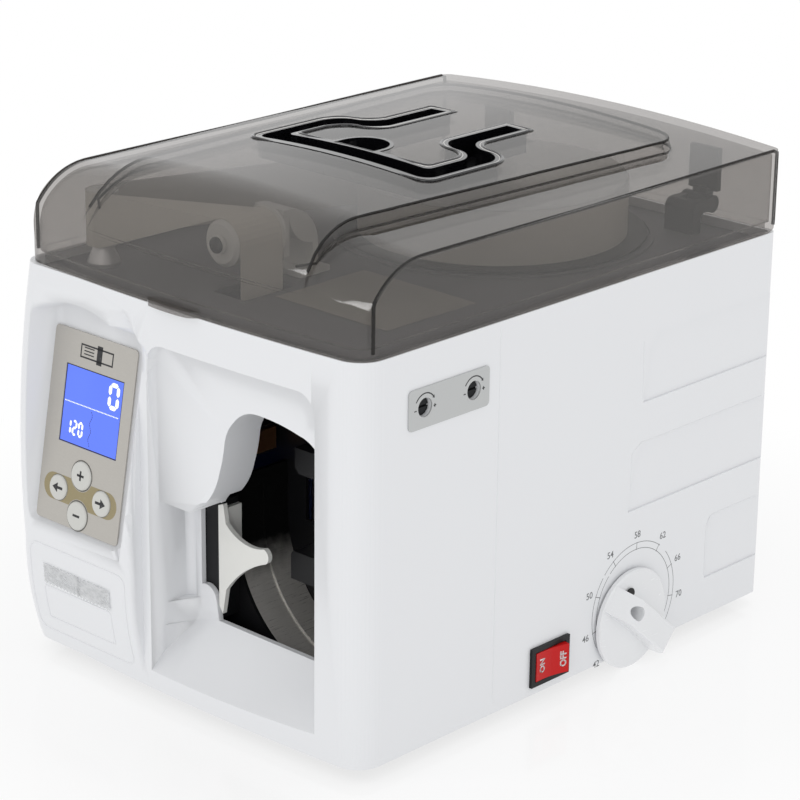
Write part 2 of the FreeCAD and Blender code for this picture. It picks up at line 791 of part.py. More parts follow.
def trim_layer(name, inset, low, high, corner=None):
    """The handle's outline and the well's, set in from the rim, between two heights."""
    handle = new_body(f"{name}_handle")
    pad(handle, "Z", low, high, trim_outline(inset))
    well = new_body(f"{name}_well")
    pad(well, "Z", low, high, well_outline(inset))
    if corner is not None:
        behind = number(S.trim_front + S.trim_width)
        round_edges(well, corner, lambda e: abs(middle_of(e).z - number(low)) < 0.01
                    and middle_of(e).y > behind)
    for part in (handle, well):
        place(part, S.trim_x, 0, 0)
    return handle, well


def lid():
    low = S.body_height + S.lid_gap
    outer = lid_form("lid_outer", 0, low)
    inner = lid_form("lid_inner", S.wall, low + S.lid_rim_height)
    throat = plan_block("lid_mouth", S.lid_rim_wall, low - 1, low + S.lid_rim_height + 1)
    openings = trim_layer("trim_opening", S.trim_rim - 0.5, trim_top() - 20, trim_top() + 5)
    pivot_y = S.rear_depth - S.hinge_inset
    pivot_z = low + S.hinge_inset
    corner = cut(
        "lid_heel",
        box("heel_box", (-200, 200), (pivot_y, S.rear_depth + 1), (low - 1, pivot_z)),
        rod("heel_round", "X", S.hinge_inset, -200, 200, pivot_y, pivot_z),
    )
    lip = new_body("lid_lip")
    front = -S.front_depth - 5.4
    pad(lip, "Z", low, low + S.lip_thickness, [
        (-S.lip_half_width, front + 3),
        (-S.lip_half_width + 6, front - S.lip_length + 1.5, 12),
        (S.lip_half_width - 6, front - S.lip_length + 1.5, 110),
        (S.lip_half_width, front + 3, 12),
    ])
    place(lip, S.trim_x, 0, 0)
    shape = cut("lid_shell", fuse("lid_whole", outer, lip), inner, throat, *openings, corner)
    return node(shape, "lid")


def lid_trim():
    """The black handle channel: a rim on the plateau round a groove with a closed floor."""
    top = trim_top()
    floor = top - S.trim_depth
    axis_y = -S.front_depth + S.lid_front_radius + S.plateau_shift
    axis_z = S.body_height + S.rim_step + S.plateau_rise
    limit = bowed_form(
        "trim_limit", S.plateau_half_width, S.plateau_radius + 0.9, S.plateau_bow, axis_y, axis_z,
        S.plateau_back,
    )
    under = bowed_form(
        "trim_under", S.plateau_half_width + 6, S.plateau_radius, S.plateau_bow, axis_y, axis_z,
        S.plateau_back,
    )
    body = fuse("trim_body", *trim_layer("trim_body", 0, floor, top + 1.2))
    core = fuse("trim_core", *trim_layer("trim_core", S.trim_rim - 0.2, floor - 1, top + 3))
    hollow = trim_layer(
        "trim_hollow", S.trim_rim - 0.2 + S.trim_wall, floor + S.trim_wall, top + 3, S.well_corner
    )
    rim = cut("trim_rim_part", body, under)
    wall = common("trim_wall_part", fuse("trim_both", rim, common("trim_in", body, core)), limit)
    return node(cut("lid_trim", wall, *hollow), "lid_trim")


def hinges():
    low = S.body_height + S.lid_gap
    pivot_y = S.rear_depth - S.hinge_inset
    pivot_z = low + S.hinge_inset
    inner_wall = S.rear_depth - S.wall
    half = S.hinge_width / 2
    knuckle = half / 2
    arms, posts = [], []
    for side, name in ((-1, "left"), (1, "right")):
        x = side * S.hinge_x
        arm = fuse(
            f"hinge_arm_{name}_solid",
            rod(f"knuckle_{name}", "X", S.knuckle_radius, x - knuckle, x + knuckle, pivot_y, pivot_z),
            box(f"arm_web_{name}", (x - knuckle, x + knuckle), (pivot_y, inner_wall),
                (pivot_z, pivot_z + 8)),
            box(f"arm_plate_{name}", (x - half, x + half), (inner_wall - 3.5, inner_wall),
                (pivot_z + 6.5, pivot_z + 31)),
        )
        bore = rod(f"arm_bore_{name}", "X", S.pin_radius + 0.05, x - half, x + half, pivot_y, pivot_z)
        arms.append(cut(f"hinge_arm_{name}", arm, bore))
        post = new_body(f"post_form_{name}")
        stem_front = pivot_y - 18
        stem_back = pivot_y - 11
        ear = S.knuckle_radius
        reach = ear * math.sqrt(0.5)
        profile = [
            (stem_front, S.deck_top),
            (stem_back, S.deck_top),
            (stem_back, pivot_z - 7),
            (pivot_y - 8.5, pivot_z - reach, -4.5),
            (pivot_y - reach, pivot_z - reach),
            (pivot_y + reach, pivot_z - reach, ear),
            (pivot_y + reach, pivot_z + reach, ear),
            (pivot_y - reach, pivot_z + reach, ear),
            (stem_front + 5, pivot_z + reach),
            (stem_front, pivot_z + reach - 5, 5),
        ]
        pad(post, "X", x - half, x + half, profile)
        gap = box(
            f"post_gap_{name}", (x - knuckle - S.fit, x + knuckle + S.fit),
            (stem_back + 0.5, pivot_y + 10), (pivot_z - 12, pivot_z + 12),
        )
        bore = rod(f"post_bore_{name}", "X", S.pin_radius, x - half - 1, x + half + 1, pivot_y, pivot_z)
        posts.append(cut(f"hinge_post_{name}", post, gap, bore))
        posts.append(rod(f"hinge_pin_{name}", "X", S.pin_radius, x - half, x + half, pivot_y, pivot_z))
    node(group("hinge_arms", *arms), "hinge_arms")
    node(group("hinge_posts", *posts), "hinge_posts")


# ---------------------------------------------------------------- console


def console_parts():
    label = new_body("console_label")
    pad(label, "Z", 0, S.label_thickness,
        rectangle(-S.label_half_width, -S.label_half_height, S.label_half_width, S.label_half_height))
    round_edges(label, 2.5, lambda e: runs_along(e, V(0, 0, 1)))
    x, z, width, height = S.lcd_x, S.lcd_z, S.lcd_half_width, S.lcd_half_height
    pocket(label, "Z", -1, 2, rectangle(x - width, z - height, x + width, z + height))
    for key_x, key_z, radius in KEYS.values():
        pocket(label, "Z", -1, 2, ("circle", key_x, key_z, radius + S.fit))
    node(on_label(label), "console_label")

    module = new_body("lcd_module")
    width, height = S.lcd_half_width, S.lcd_half_height
    pad(module, "Z", -8, 0, rectangle(x - width - 0.6, z - height - 0.6, x + width + 0.6, z + height + 0.6))
    pad(module, "Z", -1, S.label_thickness - 0.3,
        rectangle(x - width + 0.1, z - height + 0.1, x + width - 0.1, z + height - 0.1))
    pad(module, "Z", -9.6, -8,
        rectangle(-S.label_half_width, -S.label_half_height, S.label_half_width, S.label_half_height))
    for key_x, key_z, radius in KEYS.values():
        pad(module, "Z", -8.5, -7.2, ("circle", key_x, key_z, 2.5))
    node(on_label(module), "display_module")

    for name, (key_x, key_z, radius) in KEYS.items():
        key = new_body(name)
        top = S.label_thickness + S.key_rise
        turn(key, [
            (0, -6.1), (S.stem_radius, -6.1), (S.stem_radius, -0.4), (radius, -0.4),
            (radius, top - 0.6), (radius - 0.6, top), (0, top),
        ])
        key.Placement = FreeCAD.Placement(V(0, 0, 0), LABEL_TURN)
        key.setExpression("Placement.Rotation.Angle", f"90 - {S.console_tilt.text}")
        tilt = S.console_tilt
        place(key, S.label_x + key_x, S.label_y + sine(tilt) * key_z, S.label_z + cosine(tilt) * key_z)
        node(key, name)


# ---------------------------------------------------------------- side controls


def power_switch():
    y, z = S.rocker_y, S.rocker_z
    length, height = S.rocker_half_length, S.rocker_half_height
    wall_x = S.body_half_width
    flange = box("switch_flange", (wall_x, wall_x + 1.8), (y - length, y + length), (z - height, z + height))
    can = box("switch_can", (wall_x - 24, wall_x + 1), (y - length + 1.8, y + length - 1.8),
              (z - height + 1.8, z + height - 1.8))
    well = box("switch_well", (wall_x - 12, wall_x + 3), (y - length + 2.9, y + length - 2.9),
               (z - height + 2.6, z + height - 2.6))
    terminals = [
        box(f"terminal_{i}", (wall_x - 31, wall_x - 23), (y + i * 7 - 0.4, y + i * 7 + 0.4),
            (z - 2.4, z + 2.4))
        for i in (-1, 1)
    ]
    pivot_x = wall_x - 1.2
    bore = rod("switch_bore", "Z", S.pin_radius + 0.06, z - height + 1, z + height - 1, pivot_x, y)
    solid = fuse("switch_solid", flange, can, *terminals)
    node(cut("switch_bezel", solid, well, bore), "switch_bezel")
    rocker = new_body("power_rocker")
    reach = S.rocker_half_length - 3.8
    pad(rocker, "Z", -S.rocker_half_height + 3, S.rocker_half_height - 3, [
        (-4, -reach * 0.35),
        (1.0, -reach),
        (5.0, -reach),
        (3.6, 0, -60),
        (5.0, reach, -60),
        (1.0, reach),
        (-4, reach * 0.35),
    ])
    place(rocker, pivot_x, y, z, FreeCAD.Rotation(V(0, 0, -1), S.rocker_lean.value))
    bind(rocker, "Placement.Rotation.Angle", S.rocker_lean)
    pins = rod("rocker_pins", "Z", S.pin_radius, z - height + 1.9, z + height - 1.9, pivot_x, y)
    node(fuse("power_rocker_part", rocker, pins), "power_rocker")


def dial():
    wall_x = S.body_half_width
    y, z = S.dial_y, S.dial_z
    knob = new_body("knob_disc")
    low = S.knob_gap
    rim = low + S.knob_rim
    turn(knob, [(0, low), (S.knob_radius - 0.6, low), (S.knob_radius, low + 0.6),
                (S.knob_radius, rim - 0.8), (S.knob_radius - 1, rim), (9, rim + 4.5), (0, rim + 4.5)])
    grip = new_body("knob_grip")
    half = S.grip_width / 2
    reach = S.knob_radius - 1.4
    pad(grip, "Y", -half, half, [
        (-reach, low + 1.5),
        (reach, low + 1.5),
        (reach, rim),
        (16, S.knob_height, 120),
        (-20, S.knob_height),
        (-reach, S.knob_height - 9, 14),
    ])
    round_edges(grip, 1.2, lambda e: middle_of(e).z > number(rim) + 3 and runs_along(e, V(1, 0, 0)))
    screw_well = rod("knob_hole", "Z", 4, rim + 1, 40, 15.5, 0)
    bore = rod("knob_bore", "Z", S.axle_radius, -1, 9, 0, 0)
    shape = cut("dial_knob", fuse("knob_solid", knob, grip), screw_well, bore)
    spin = FreeCAD.Rotation(V(1, 0, 0), S.pointer_angle.value) * FreeCAD.Rotation(
        V(1, 1, 1), 120)
    place(shape, wall_x, y, z, spin)
    node(shape, "dial_knob")

    pinion = new_body("dial_pinion")
    pad(pinion, "X", 0, 8, gear_outline(S.pinion_radius, 16))
    place(pinion, wall_x - 37, y, z)
    shaft = rod("dial_shaft_rod", "X", S.axle_radius, wall_x - 45, wall_x + 8.8, y, z)
    node(fuse("dial_shaft_part", shaft, pinion), "dial_shaft")

    bracket = new_body("dial_bracket")
    pad(bracket, "X", wall_x - 45.5, wall_x - 42.5, [
        (y - 12, S.base_thickness), (y + 12, S.base_thickness), (y + 12, z + 4), (y - 12, z + 4, 13.5)
    ])
    pad(bracket, "X", wall_x - 54, wall_x - 43,
        rectangle(y - 12, S.base_thickness, y + 12, S.base_thickness + 2))
    pocket(bracket, "X", wall_x - 50, wall_x - 40, ("circle", y, z, S.axle_radius + 0.04))
    node(bracket, "dial_bracket")


def gear_outline(radius, teeth, depth=1.0):
    """A gear's outline: straight-sided teeth between the root and tip circles."""
    outline = []
    step = 360 / teeth
    for i in range(teeth):
        for turn_share, offset in ((-0.3, -depth), (-0.14, depth * 0.8), (0.14, depth * 0.8), (0.3, -depth)):
            angle = (i + turn_share) * step
            outline.append((cosine(angle) * (radius + offset), sine(angle) * (radius + offset)))
    return outline


def note_stop():
    face = S.tape_y + S.stop_distance
    half = S.stop_half_width
    centre, rod_z, spread = S.stop_x, S.stop_rod_z, S.stop_rod_spread
    rack_left, rack_right = S.body_half_width - 37, S.body_half_width - 29
    bracket_y = 22
    plate = new_body("note_stop_plate")
    low, high = rod_z + S.stop_plate_rise, rod_z + S.stop_plate_rise + S.stop_plate_height
    pad(plate, "Y", face, face + 3, rectangle(centre - half, low, centre + half, high))
    round_edges(plate, 6, lambda e: runs_along(e, V(0, 1, 0)) and middle_of(e).z > number(high) - 1)
    node(plate, "note_stop_plate")
    carriage = fuse(
        "carriage_solid",
        box("carriage_bar", (centre - half, centre + half), (face + 3, face + 25), (rod_z - 7, rod_z + 7)),
        box("carriage_leg", (rack_left, rack_right), (face + 3, face + 25),
            (S.dial_z + S.pinion_radius + 1, rod_z)),
        box("carriage_wall", (centre - half, centre + half), (face + 3, face + 7), (rod_z, rod_z + 46)),
    )
    bores = [
        rod(f"carriage_bore_{i}", "Y", S.rod_radius + 0.06, face, face + 30, centre + spread * i, rod_z)
        for i in (-1, 1)
    ]
    slider = cut("stop_slider", carriage, *bores)
    pitch = math.pi * 2 / 16 * S.pinion_radius
    line = S.dial_z + S.pinion_radius
    start = S.dial_y - pitch * 11
    outline = [(start, line + 8), (start, line - 0.8 + 1)]
    for i in range(16):
        for share, drop in ((0.2, 1.0), (0.36, -0.8), (0.64, -0.8), (0.8, 1.0)):
            outline.append((start + pitch * (i + share), line + drop))
    outline.append((start + pitch * 16, line + 1.0))
    outline.append((start + pitch * 16, line + 8))
    rack = new_body("stop_rack")
    pad(rack, "X", rack_left, rack_right, outline)
    pad(rack, "X", rack_left, rack_right, rectangle(face + 25, line + 1.5, start + 1, line + 8))
    node(fuse("stop_carriage_part", slider, rack), "stop_carriage")
    rear = S.tape_y + S.frame_gap / 2 + S.frame_thickness
    rods = [
        rod(f"stop_rod_{i}", "Y", S.rod_radius, rear, bracket_y, centre + spread * i, rod_z)
        for i in (-1, 1)
    ]
    bracket = new_body("rod_bracket")
    left, right, low = centre - half, rack_left - 2, S.base_thickness
    pad(bracket, "Y", bracket_y, bracket_y + 2, rectangle(left, low, right, rod_z + 8))
    pad(bracket, "Y", bracket_y, bracket_y + 8, rectangle(left, low, right, low + 2))
    node(group("stop_guides", *rods, bracket), "stop_guides")


def tension_bracket():
    front = S.tape_y - S.frame_gap / 2 - S.frame_thickness
    bracket = new_body("tension_bracket")
    left = S.frame_right
    far = S.plate_y + S.adjuster_spread + 8
    pad(bracket, "X", left, left + 2, rectangle(front, S.plate_z - 9, far, S.plate_z + 9))
    for side in (-1, 1):
        pocket(bracket, "X", left - 1, left + 3,
               ("circle", S.plate_y + side * S.adjuster_spread, S.plate_z, 3.1))
    return bracket


def tension_parts():
    wall_x = S.body_half_width
    plate = new_body("tension_plate")
    pad(plate, "X", wall_x, wall_x + 0.8, rectangle(
        S.plate_y - S.plate_half_length, S.plate_z - S.plate_half_height,
        S.plate_y + S.plate_half_length, S.plate_z + S.plate_half_height))
    round_edges(plate, 2.5, lambda e: runs_along(e, V(1, 0, 0)))
    for side in (-1, 1):
        pocket(plate, "X", wall_x - 1, wall_x + 2,
               ("circle", S.plate_y + side * S.adjuster_spread, S.plate_z, S.adjuster_radius))
    node(plate, "tension_plate")
    for side, name in ((-1, "front"), (1, "rear")):
        y = S.plate_y + side * S.adjuster_spread
        solid = fuse(
            f"tension_solid_{name}",
            rod(f"tension_head_{name}", "X", 4.4, S.frame_right + 2.2, wall_x - 1.6, y, S.plate_z),
            rod(f"tension_shank_{name}", "X", 3, S.frame_right + 0.3, S.frame_right + 3, y, S.plate_z),
        )
        slot = box(f"tension_slot_{name}", (wall_x - 3.2, wall_x), (y - 5, y + 5),
                   (S.plate_z - 0.6, S.plate_z + 0.6))
        node(cut(f"tension_screw_{name}", solid, slot), f"tension_screw_{name}")


# ---------------------------------------------------------------- strapping mechanism


def loop_corners(grow):
    """The tape's way round the notes, from low on the left, under them and up to the top left."""
    radius = S.track_radius + grow
    corner = S.track_corner + grow
    right = S.track_right
    low = S.track_z - S.track_radius
    return [
        (S.tape_x - grow, S.track_z),
        (S.track_x, low - grow, radius),
        (right - S.track_corner, low - grow),
        (right + grow, low + S.track_corner, corner),
        (right + grow, S.track_top - S.track_corner),
        (right - S.track_corner, S.track_top + grow, corner),
        (20, S.track_top + grow),
    ]


def strap_track():
    near = S.tape_y - S.frame_gap / 2
    far = S.tape_y + S.frame_gap / 2
    outer = loop_corners(S.track_thickness)
    inner = [
        (20, S.track_top),
        (S.track_right - S.track_corner, S.track_top),
        (S.track_right, S.track_top - S.track_corner, -S.track_corner),
        (S.track_right, S.track_z - S.track_radius + S.track_corner),
        (S.track_right - S.track_corner, S.track_z - S.track_radius, -S.track_corner),
        (S.track_x, S.track_z - S.track_radius),
        (S.tape_x, S.track_z, -S.track_radius),
        (S.tape_x, 112),
        (S.tape_x - S.track_thickness, 112),
    ]
    track = new_body("strap_track")
    pad(track, "Y", near, far, outer + inner)
    groove = new_body("track_groove")
    depth = 1.2
    radius = S.track_radius
    pad(groove, "Y", S.tape_y - 1.1, S.tape_y + 1.1, [
        (S.tape_x - depth, S.track_z + 20),
        (S.tape_x - depth, S.track_z),
        (S.track_x, S.track_z - radius - depth, radius + depth),
        (S.track_x, S.track_z - radius + 1),
        (S.tape_x + 1, S.track_z, -radius + 1),
        (S.tape_x + 1, S.track_z + 20),
    ])
    node(cut("strap_track_part", track, groove), "strap_track")
    cradle = new_body("track_cradle")
    outer_radius = S.track_radius + S.track_thickness + 0.05
    low = S.track_z - S.track_radius
    pad(cradle, "Y", near + 3, far - 3, [
        (S.track_x - 60, S.base_thickness),
        (S.track_x + 10, S.base_thickness),
        (S.track_x + 10, low - S.track_thickness - 0.05),
        (S.track_x, low - S.track_thickness - 0.05),
        (S.track_x - 45, S.track_z - (outer_radius.value ** 2 - 45 ** 2) ** 0.5, -outer_radius),
        (S.track_x - 60, S.track_z - (outer_radius.value ** 2 - 60 ** 2) ** 0.5, -outer_radius),
    ])
    node(cradle, "track_cradle")


def frame_outline():
    shoulder = S.feed_motor_z - 12
    return [
        (S.frame_foot, S.base_thickness),
        (S.frame_right, S.base_thickness),
        (S.frame_right, S.deck_low),
        (S.frame_left, S.deck_low),
        (S.frame_left, shoulder),
        (S.frame_foot, shoulder - 20),
    ]


def frames():
    near = S.tape_y - S.frame_gap / 2
    far = S.tape_y + S.frame_gap / 2
    front = new_body("frame_front")
    hole = loop_corners(0) + [(8, S.track_top - 12, 30), (8, S.track_top - 31), (S.tape_x, S.track_top - 41)]
    pad(front, "Y", near - S.frame_thickness, near, frame_outline(), hole)
    pocket(front, "Y", near - S.frame_thickness - 1, near + 1,
           ("circle", S.tape_x - S.drive_radius - 0.1, S.feed_height, S.axle_radius + 0.05))
    pocket(front, "Y", near - S.frame_thickness - 1, near + 1,
           ("circle", S.tape_x + S.pinch_radius + 0.4, S.feed_height, S.axle_radius + 0.05))
    node(fuse("frame_front_part", front, tension_bracket()), "frame_front")
    rear = new_body("frame_rear")
    right, top = S.frame_right - 11, S.track_top - 19
    mouth = [
        (8, S.anvil_top + 2), (right, S.anvil_top + 2), (right, top - 12), (right - 12, top, 12),
        (20, top), (8, top - 12, 12),
    ]
    pad(rear, "Y", far, far + S.frame_thickness, frame_outline(), mouth)
    for x, radius in ((S.tape_x - S.drive_radius - 0.1, S.axle_radius + 0.05),
                      (S.tape_x + S.pinch_radius + 0.4, S.axle_radius + 0.05)):
        pocket(rear, "Y", far - 1, far + 3, ("circle", x, S.feed_height, radius))
    pocket(rear, "Y", far - 1, far + 3, ("circle", S.feed_motor_x, S.feed_motor_z, 3.5))
    node(rear, "frame_rear")


def feed_parts():
    near = S.tape_y - S.frame_gap / 2
    far = S.tape_y + S.frame_gap / 2
    half = S.tape_width / 2
    drive_x = S.tape_x - S.drive_radius - 0.1
    pinch_x = S.tape_x + S.pinch_radius + 0.4
    z = S.feed_height
    roller = cut(
        "drive_tyre",
        rod("drive_tyre_solid", "Y", S.drive_radius, S.tape_y - half, S.tape_y + half, drive_x, z),
        rod("drive_tyre_bore", "Y", S.axle_radius, near, far, drive_x, z),
    )
    node(roller, "drive_roller")
    axle = rod("drive_axle_rod", "Y", S.axle_radius, near - 2, far + 13, drive_x, z)
    pulley = new_body("drive_pulley")
    turn(pulley, [(2, 0), (11, 0), (11, 1.2), (9.2, 1.6), (9.2, 7.4), (11, 7.8), (11, 9), (2, 9)])
    place(pulley, drive_x, far + S.frame_thickness + 1.5, z, TURNS["Y"])
    node(fuse("drive_axle_part", axle, pulley), "drive_axle")
    pinch = fuse(
        "pinch_solid",
        rod("pinch_tread", "Y", S.pinch_radius, S.tape_y - half, S.tape_y + half, pinch_x, z),
        rod("pinch_axle", "Y", S.axle_radius, near - 2, far + 2, pinch_x, z),
    )
    node(pinch, "pinch_roller")

    motor_y = far + 14.5
    x, z = S.feed_motor_x, S.feed_motor_z
    motor = new_body("feed_motor")
    turn(motor, [(0, 0), (S.motor_radius, 0), (S.motor_radius, S.motor_length), (7, S.motor_length),
                 (7, S.motor_length + 3), (0, S.motor_length + 3)])
    turn_plate = rectangle(-22, -20, 22, 20)
    pad(motor, "Z", -1.5, 0, turn_plate)
    place(motor, x, motor_y, z, TURNS["Y"])
    posts = [
        rod(f"motor_post_{i}", "Y", 2.2, far + S.frame_thickness, motor_y - 1.5, x + 17 * side_x,
            z + 15 * side_z)
        for i, (side_x, side_z) in enumerate(((-1, -1), (1, -1), (-1, 1)))
    ]
    node(fuse("feed_motor_part", motor, *posts), "feed_motor")
    small = new_body("motor_pulley")
    turn(small, [(0, -2), (3, -2), (3, 0), (8, 0), (8, 1.2), (6.2, 1.6), (6.2, 7.4), (8, 7.8), (8, 9),
                 (2.5, 9), (2.5, 9.4), (0, 9.4)])
    place(small, x, far + S.frame_thickness + 1.5, z, TURNS["Y"])
    node(small, "motor_pulley")

    belt = doc.addObject("Part::Feature", "feed_belt")
    belt.Shape = belt_shape(
        V(S.feed_motor_x.value, 0, S.feed_motor_z.value), 6.2 + 0.1,
        V(drive_x.value, 0, S.feed_height.value), 9.2 + 0.1, 1.2, 5.0,
    )
    place(belt, 0, far + S.frame_thickness + 3.5, 0)
    node(belt, "feed_belt")


def belt_shape(first, first_radius, second, second_radius, thickness, width):
    """A flat open belt round two pulleys whose axles run along Y."""

    def outline(extra):
        a, b = first_radius + extra, second_radius + extra
        line = second - first
        span = line.Length
        along = math.atan2(line.z, line.x)
        lean = math.acos((a - b) / span)
        points = []
        for centre, radius in ((first, a), (second, b)):
            for sign in (1, -1):
                angle = along + sign * lean
                points.append(centre + V(radius * math.cos(angle), 0, radius * math.sin(angle)))
        back = first - V(a * math.cos(along), 0, a * math.sin(along))
        ahead = second + V(b * math.cos(along), 0, b * math.sin(along))
        return Part.Wire([
            Part.LineSegment(points[0], points[2]).toShape(),
            Part.Arc(points[2], ahead, points[3]).toShape(),
            Part.LineSegment(points[3], points[1]).toShape(),
            Part.Arc(points[1], back, points[0]).toShape(),
        ])

    outside = Part.Face(outline(thickness)).extrude(V(0, width, 0))
    inside = Part.Face(outline(0)).extrude(V(0, width, 0))
    return outside.cut(inside)


def press_parts():
    far = S.tape_y + S.frame_gap / 2 + S.frame_thickness
    jaw_front = S.tape_y - S.tape_width / 2 + 1.5
    centre = S.press_x
    guide_y = far + 9
    anvil = new_body("anvil_jaw")
    pad(anvil, "Y", jaw_front, S.tape_y + S.frame_gap / 2, [
        (centre - 33, S.anvil_top - 16), (centre + 33, S.anvil_top - 16), (centre + 33, S.anvil_top - 3),
        (centre + 30, S.anvil_top, 3), (centre - 30, S.anvil_top), (centre - 33, S.anvil_top - 3, 3),
    ])
    node(anvil, "anvil_jaw")
    jaw = new_body("press_jaw")
    pad(jaw, "Y", jaw_front, guide_y - 6, [
        (centre - 27, S.press_z), (centre + 27, S.press_z), (centre + 30, S.press_z + 3),
        (centre + 30, S.press_z + 14), (centre - 30, S.press_z + 14), (centre - 30, S.press_z + 3),
    ])
    carriage = new_body("press_carriage")
    left, right = S.press_rod_left, S.press_rod_right
    low, high = S.anvil_top - 20, S.deck_low - 3.7
    pad(carriage, "Y", guide_y - 6, guide_y + 6,
        rectangle(left - 5, S.press_z + 2, right + 5, S.press_z + 16))
    bores = [
        rod(f"press_bore_{i}", "Z", S.rod_radius + 0.06, S.press_z - 10, S.press_z + 40, x, guide_y)
        for i, x in enumerate((left, right))
    ]
    slider = cut("press_slider", carriage, *bores)
    rods = [
        rod(f"press_rod_{i}", "Z", S.rod_radius, low + 6, high - 4, x, guide_y)
        for i, x in enumerate((left, right))
    ]
    seats = (
        (left - 7, left + 5, low, low + 6),
        (right - 5, right + 7, low, low + 6),
        (left - 7, right + 7, high - 4, high),
    )
    blocks = [
        box(f"press_block_{i}", (x_low, x_high), (far, guide_y + 4), (z_low, z_high))
        for i, (x_low, x_high, z_low, z_high) in enumerate(seats)
    ]
    node(group("press_guides", *rods, *blocks), "press_guides")
    pitch = math.pi * 2 / 16 * S.press_pinion_radius
    face = centre + 4
    start = S.press_z + 16
    outline = [(face - 8, start)]
    outline.append((face - 1, start))
    for i in range(17):
        for share, out in ((0.2, -1.0), (0.36, 0.8), (0.64, 0.8), (0.8, -1.0)):
            outline.append((face + out, start + pitch * (i + share)))
    outline.append((face - 1, start + pitch * 17))
    outline.append((face - 8, start + pitch * 17))
    rack = new_body("press_rack")
    pad(rack, "Y", guide_y - 4, guide_y + 4, outline)
    node(fuse("press_jaw_part", jaw, slider, rack), "press_jaw")
    pinion = new_body("press_pinion")
    gear_x = face + S.press_pinion_radius
    gear_z = start + pitch * 3
    pad(pinion, "Y", -4, 4, gear_outline(S.press_pinion_radius, 16))
    pad(pinion, "Y", 3, 8.2, ("circle", 0, 0, 2.5))
    place(pinion, gear_x, guide_y, gear_z)
    node(pinion, "press_pinion")
    motor = new_body("press_motor_form")
    turn(motor, [(0, 0), (S.motor_radius, 0), (S.motor_radius, S.motor_length), (7, S.motor_length),
                 (7, S.motor_length + 3), (0, S.motor_length + 3)])
    pad(motor, "Z", 0, 2, rectangle(-24, -22, 24, 17))
    place(motor, gear_x, guide_y + 8.4, gear_z, TURNS["Y"])
    posts = [
        rod(f"press_post_{i}", "Y", 2.2, far, guide_y + 9, gear_x + i * 20, gear_z + 18) for i in (-1, 1)
    ]
    node(fuse("press_motor_part", motor, *posts), "press_motor")


def head_parts():
    half = S.tape_width / 2
    x = S.tape_x - 3
    block = fuse(
        "head_solid",
        box("head_block", (x - 16, x - 2), (S.tape_y - half + 1, S.tape_y + half - 1),
            (S.head_z - S.head_half, S.head_z + S.head_half)),
        rod("head_plunger", "X", 3, x - 30, x - 15, S.tape_y, S.head_z),
    )
    node(block, "seal_head")
    heater = box("heater_plate", (x - 2, x), (S.tape_y - half + 2, S.tape_y + half - 2),
                 (S.head_z - 10, S.head_z + 2))
    node(heater, "heater_plate")
    blade = new_body("cutter_blade")
    edge = S.head_z + 5.5
    pad(blade, "Y", S.tape_y - half + 1.5, S.tape_y + half - 1.5, [
        (x - 2, edge - 1.5), (x - 0.8, edge - 1.5), (x + 1.6, edge), (x - 2, edge)
    ])
    node(blade, "cutter_blade")
    solenoid = new_body("head_solenoid")
    radius, length = S.solenoid_radius, S.solenoid_length
    turn(solenoid, [(3.3, 0), (radius, 0), (radius, length), (0, length), (0, length - 3),
                    (3.3, length - 3)])
    place(solenoid, x - 22, S.tape_y, S.head_z, FreeCAD.Rotation(V(0, 1, 0), -90))
    near = S.tape_y - S.frame_gap / 2
    far = S.tape_y + S.frame_gap / 2
    cradle = cut(
        "solenoid_cradle_part",
        box("cradle_block", (x - 44, x - 30), (near, far), (S.head_z - 18, S.head_z + 2)),
        rod("cradle_bore", "X", radius + 0.05, x - 60, x - 20, S.tape_y, S.head_z),
    )
    node(group("head_solenoid_group", solenoid, cradle), "head_solenoid")


def throat_parts():
    near = S.tape_y - S.frame_gap / 2 - S.frame_thickness
    front = S.throat_back
    column = box(
        "throat_column_block", (S.window_left + 0.4, -3.2), (front + S.wall + S.fit, near),
        (37, S.hood_low - 1),
    )
    node(column, "throat_column")
    guide = new_body("throat_guide")
    pad(guide, "Y", front + 0.8, front + 3.6, [
        (-3.2, 45), (-0.5, 41), (2.2, 55.5), (31, 78.5, -65), (31, 87, 4.4), (2.3, 93, -27.5),
        (0.5, 103.5), (-3.2, 102),
    ])
    pad(guide, "Y", front + 3, near, rectangle(-3.2, 66, -0.7, 100))
    node(guide, "throat_guide")


# ---------------------------------------------------------------- reel and tape on the deck


def reel_parts():
    deck_top = S.deck_top
    spindle = new_body("reel_spindle")
    turn(spindle, [(0, -0.0), (16, 0), (16, 0.4), (7.9, 0.4), (7.9, 34), (5, 34), (5, 39.5), (0, 39.5)])
    place(spindle, S.reel_x, S.reel_y, deck_top)
    node(spindle, "reel_spindle")
    table = new_body("reel_table")
    turn(table, [(8.1, 0.7), (S.reel_radius - 1, 0.7), (S.reel_radius, 1.7), (S.reel_radius, 2.7),
                 (19, 2.7), (19, 33), (8.1, 33)])
    place(table, S.reel_x, S.reel_y, deck_top)
    node(table, "reel_table")
    roll = new_body("tape_roll")
    turn(roll, [(19.1, 2.7), (S.roll_radius, 2.7), (S.roll_radius, 32.7), (19.1, 32.7)])
    place(roll, S.reel_x, S.reel_y, deck_top)
    node(roll, "tape_roll")
    cover = new_body("reel_cover")
    turn(cover, [(8.1, 33), (S.roll_radius - 1, 33), (S.roll_radius - 1, 34.6), (26, 34.6), (22, 35.8),
                 (8.1, 35.8)])
    place(cover, S.reel_x, S.reel_y, deck_top)
    nut = new_body("reel_nut")
    turn(nut, [(5.1, 35.8), (13, 35.8), (13, 40), (11, 42), (0, 42), (0, 39.7), (5.1, 39.7)])
    place(nut, S.reel_x, S.reel_y, deck_top)
    node(group("reel_cap_group", cover, nut), "reel_cover")


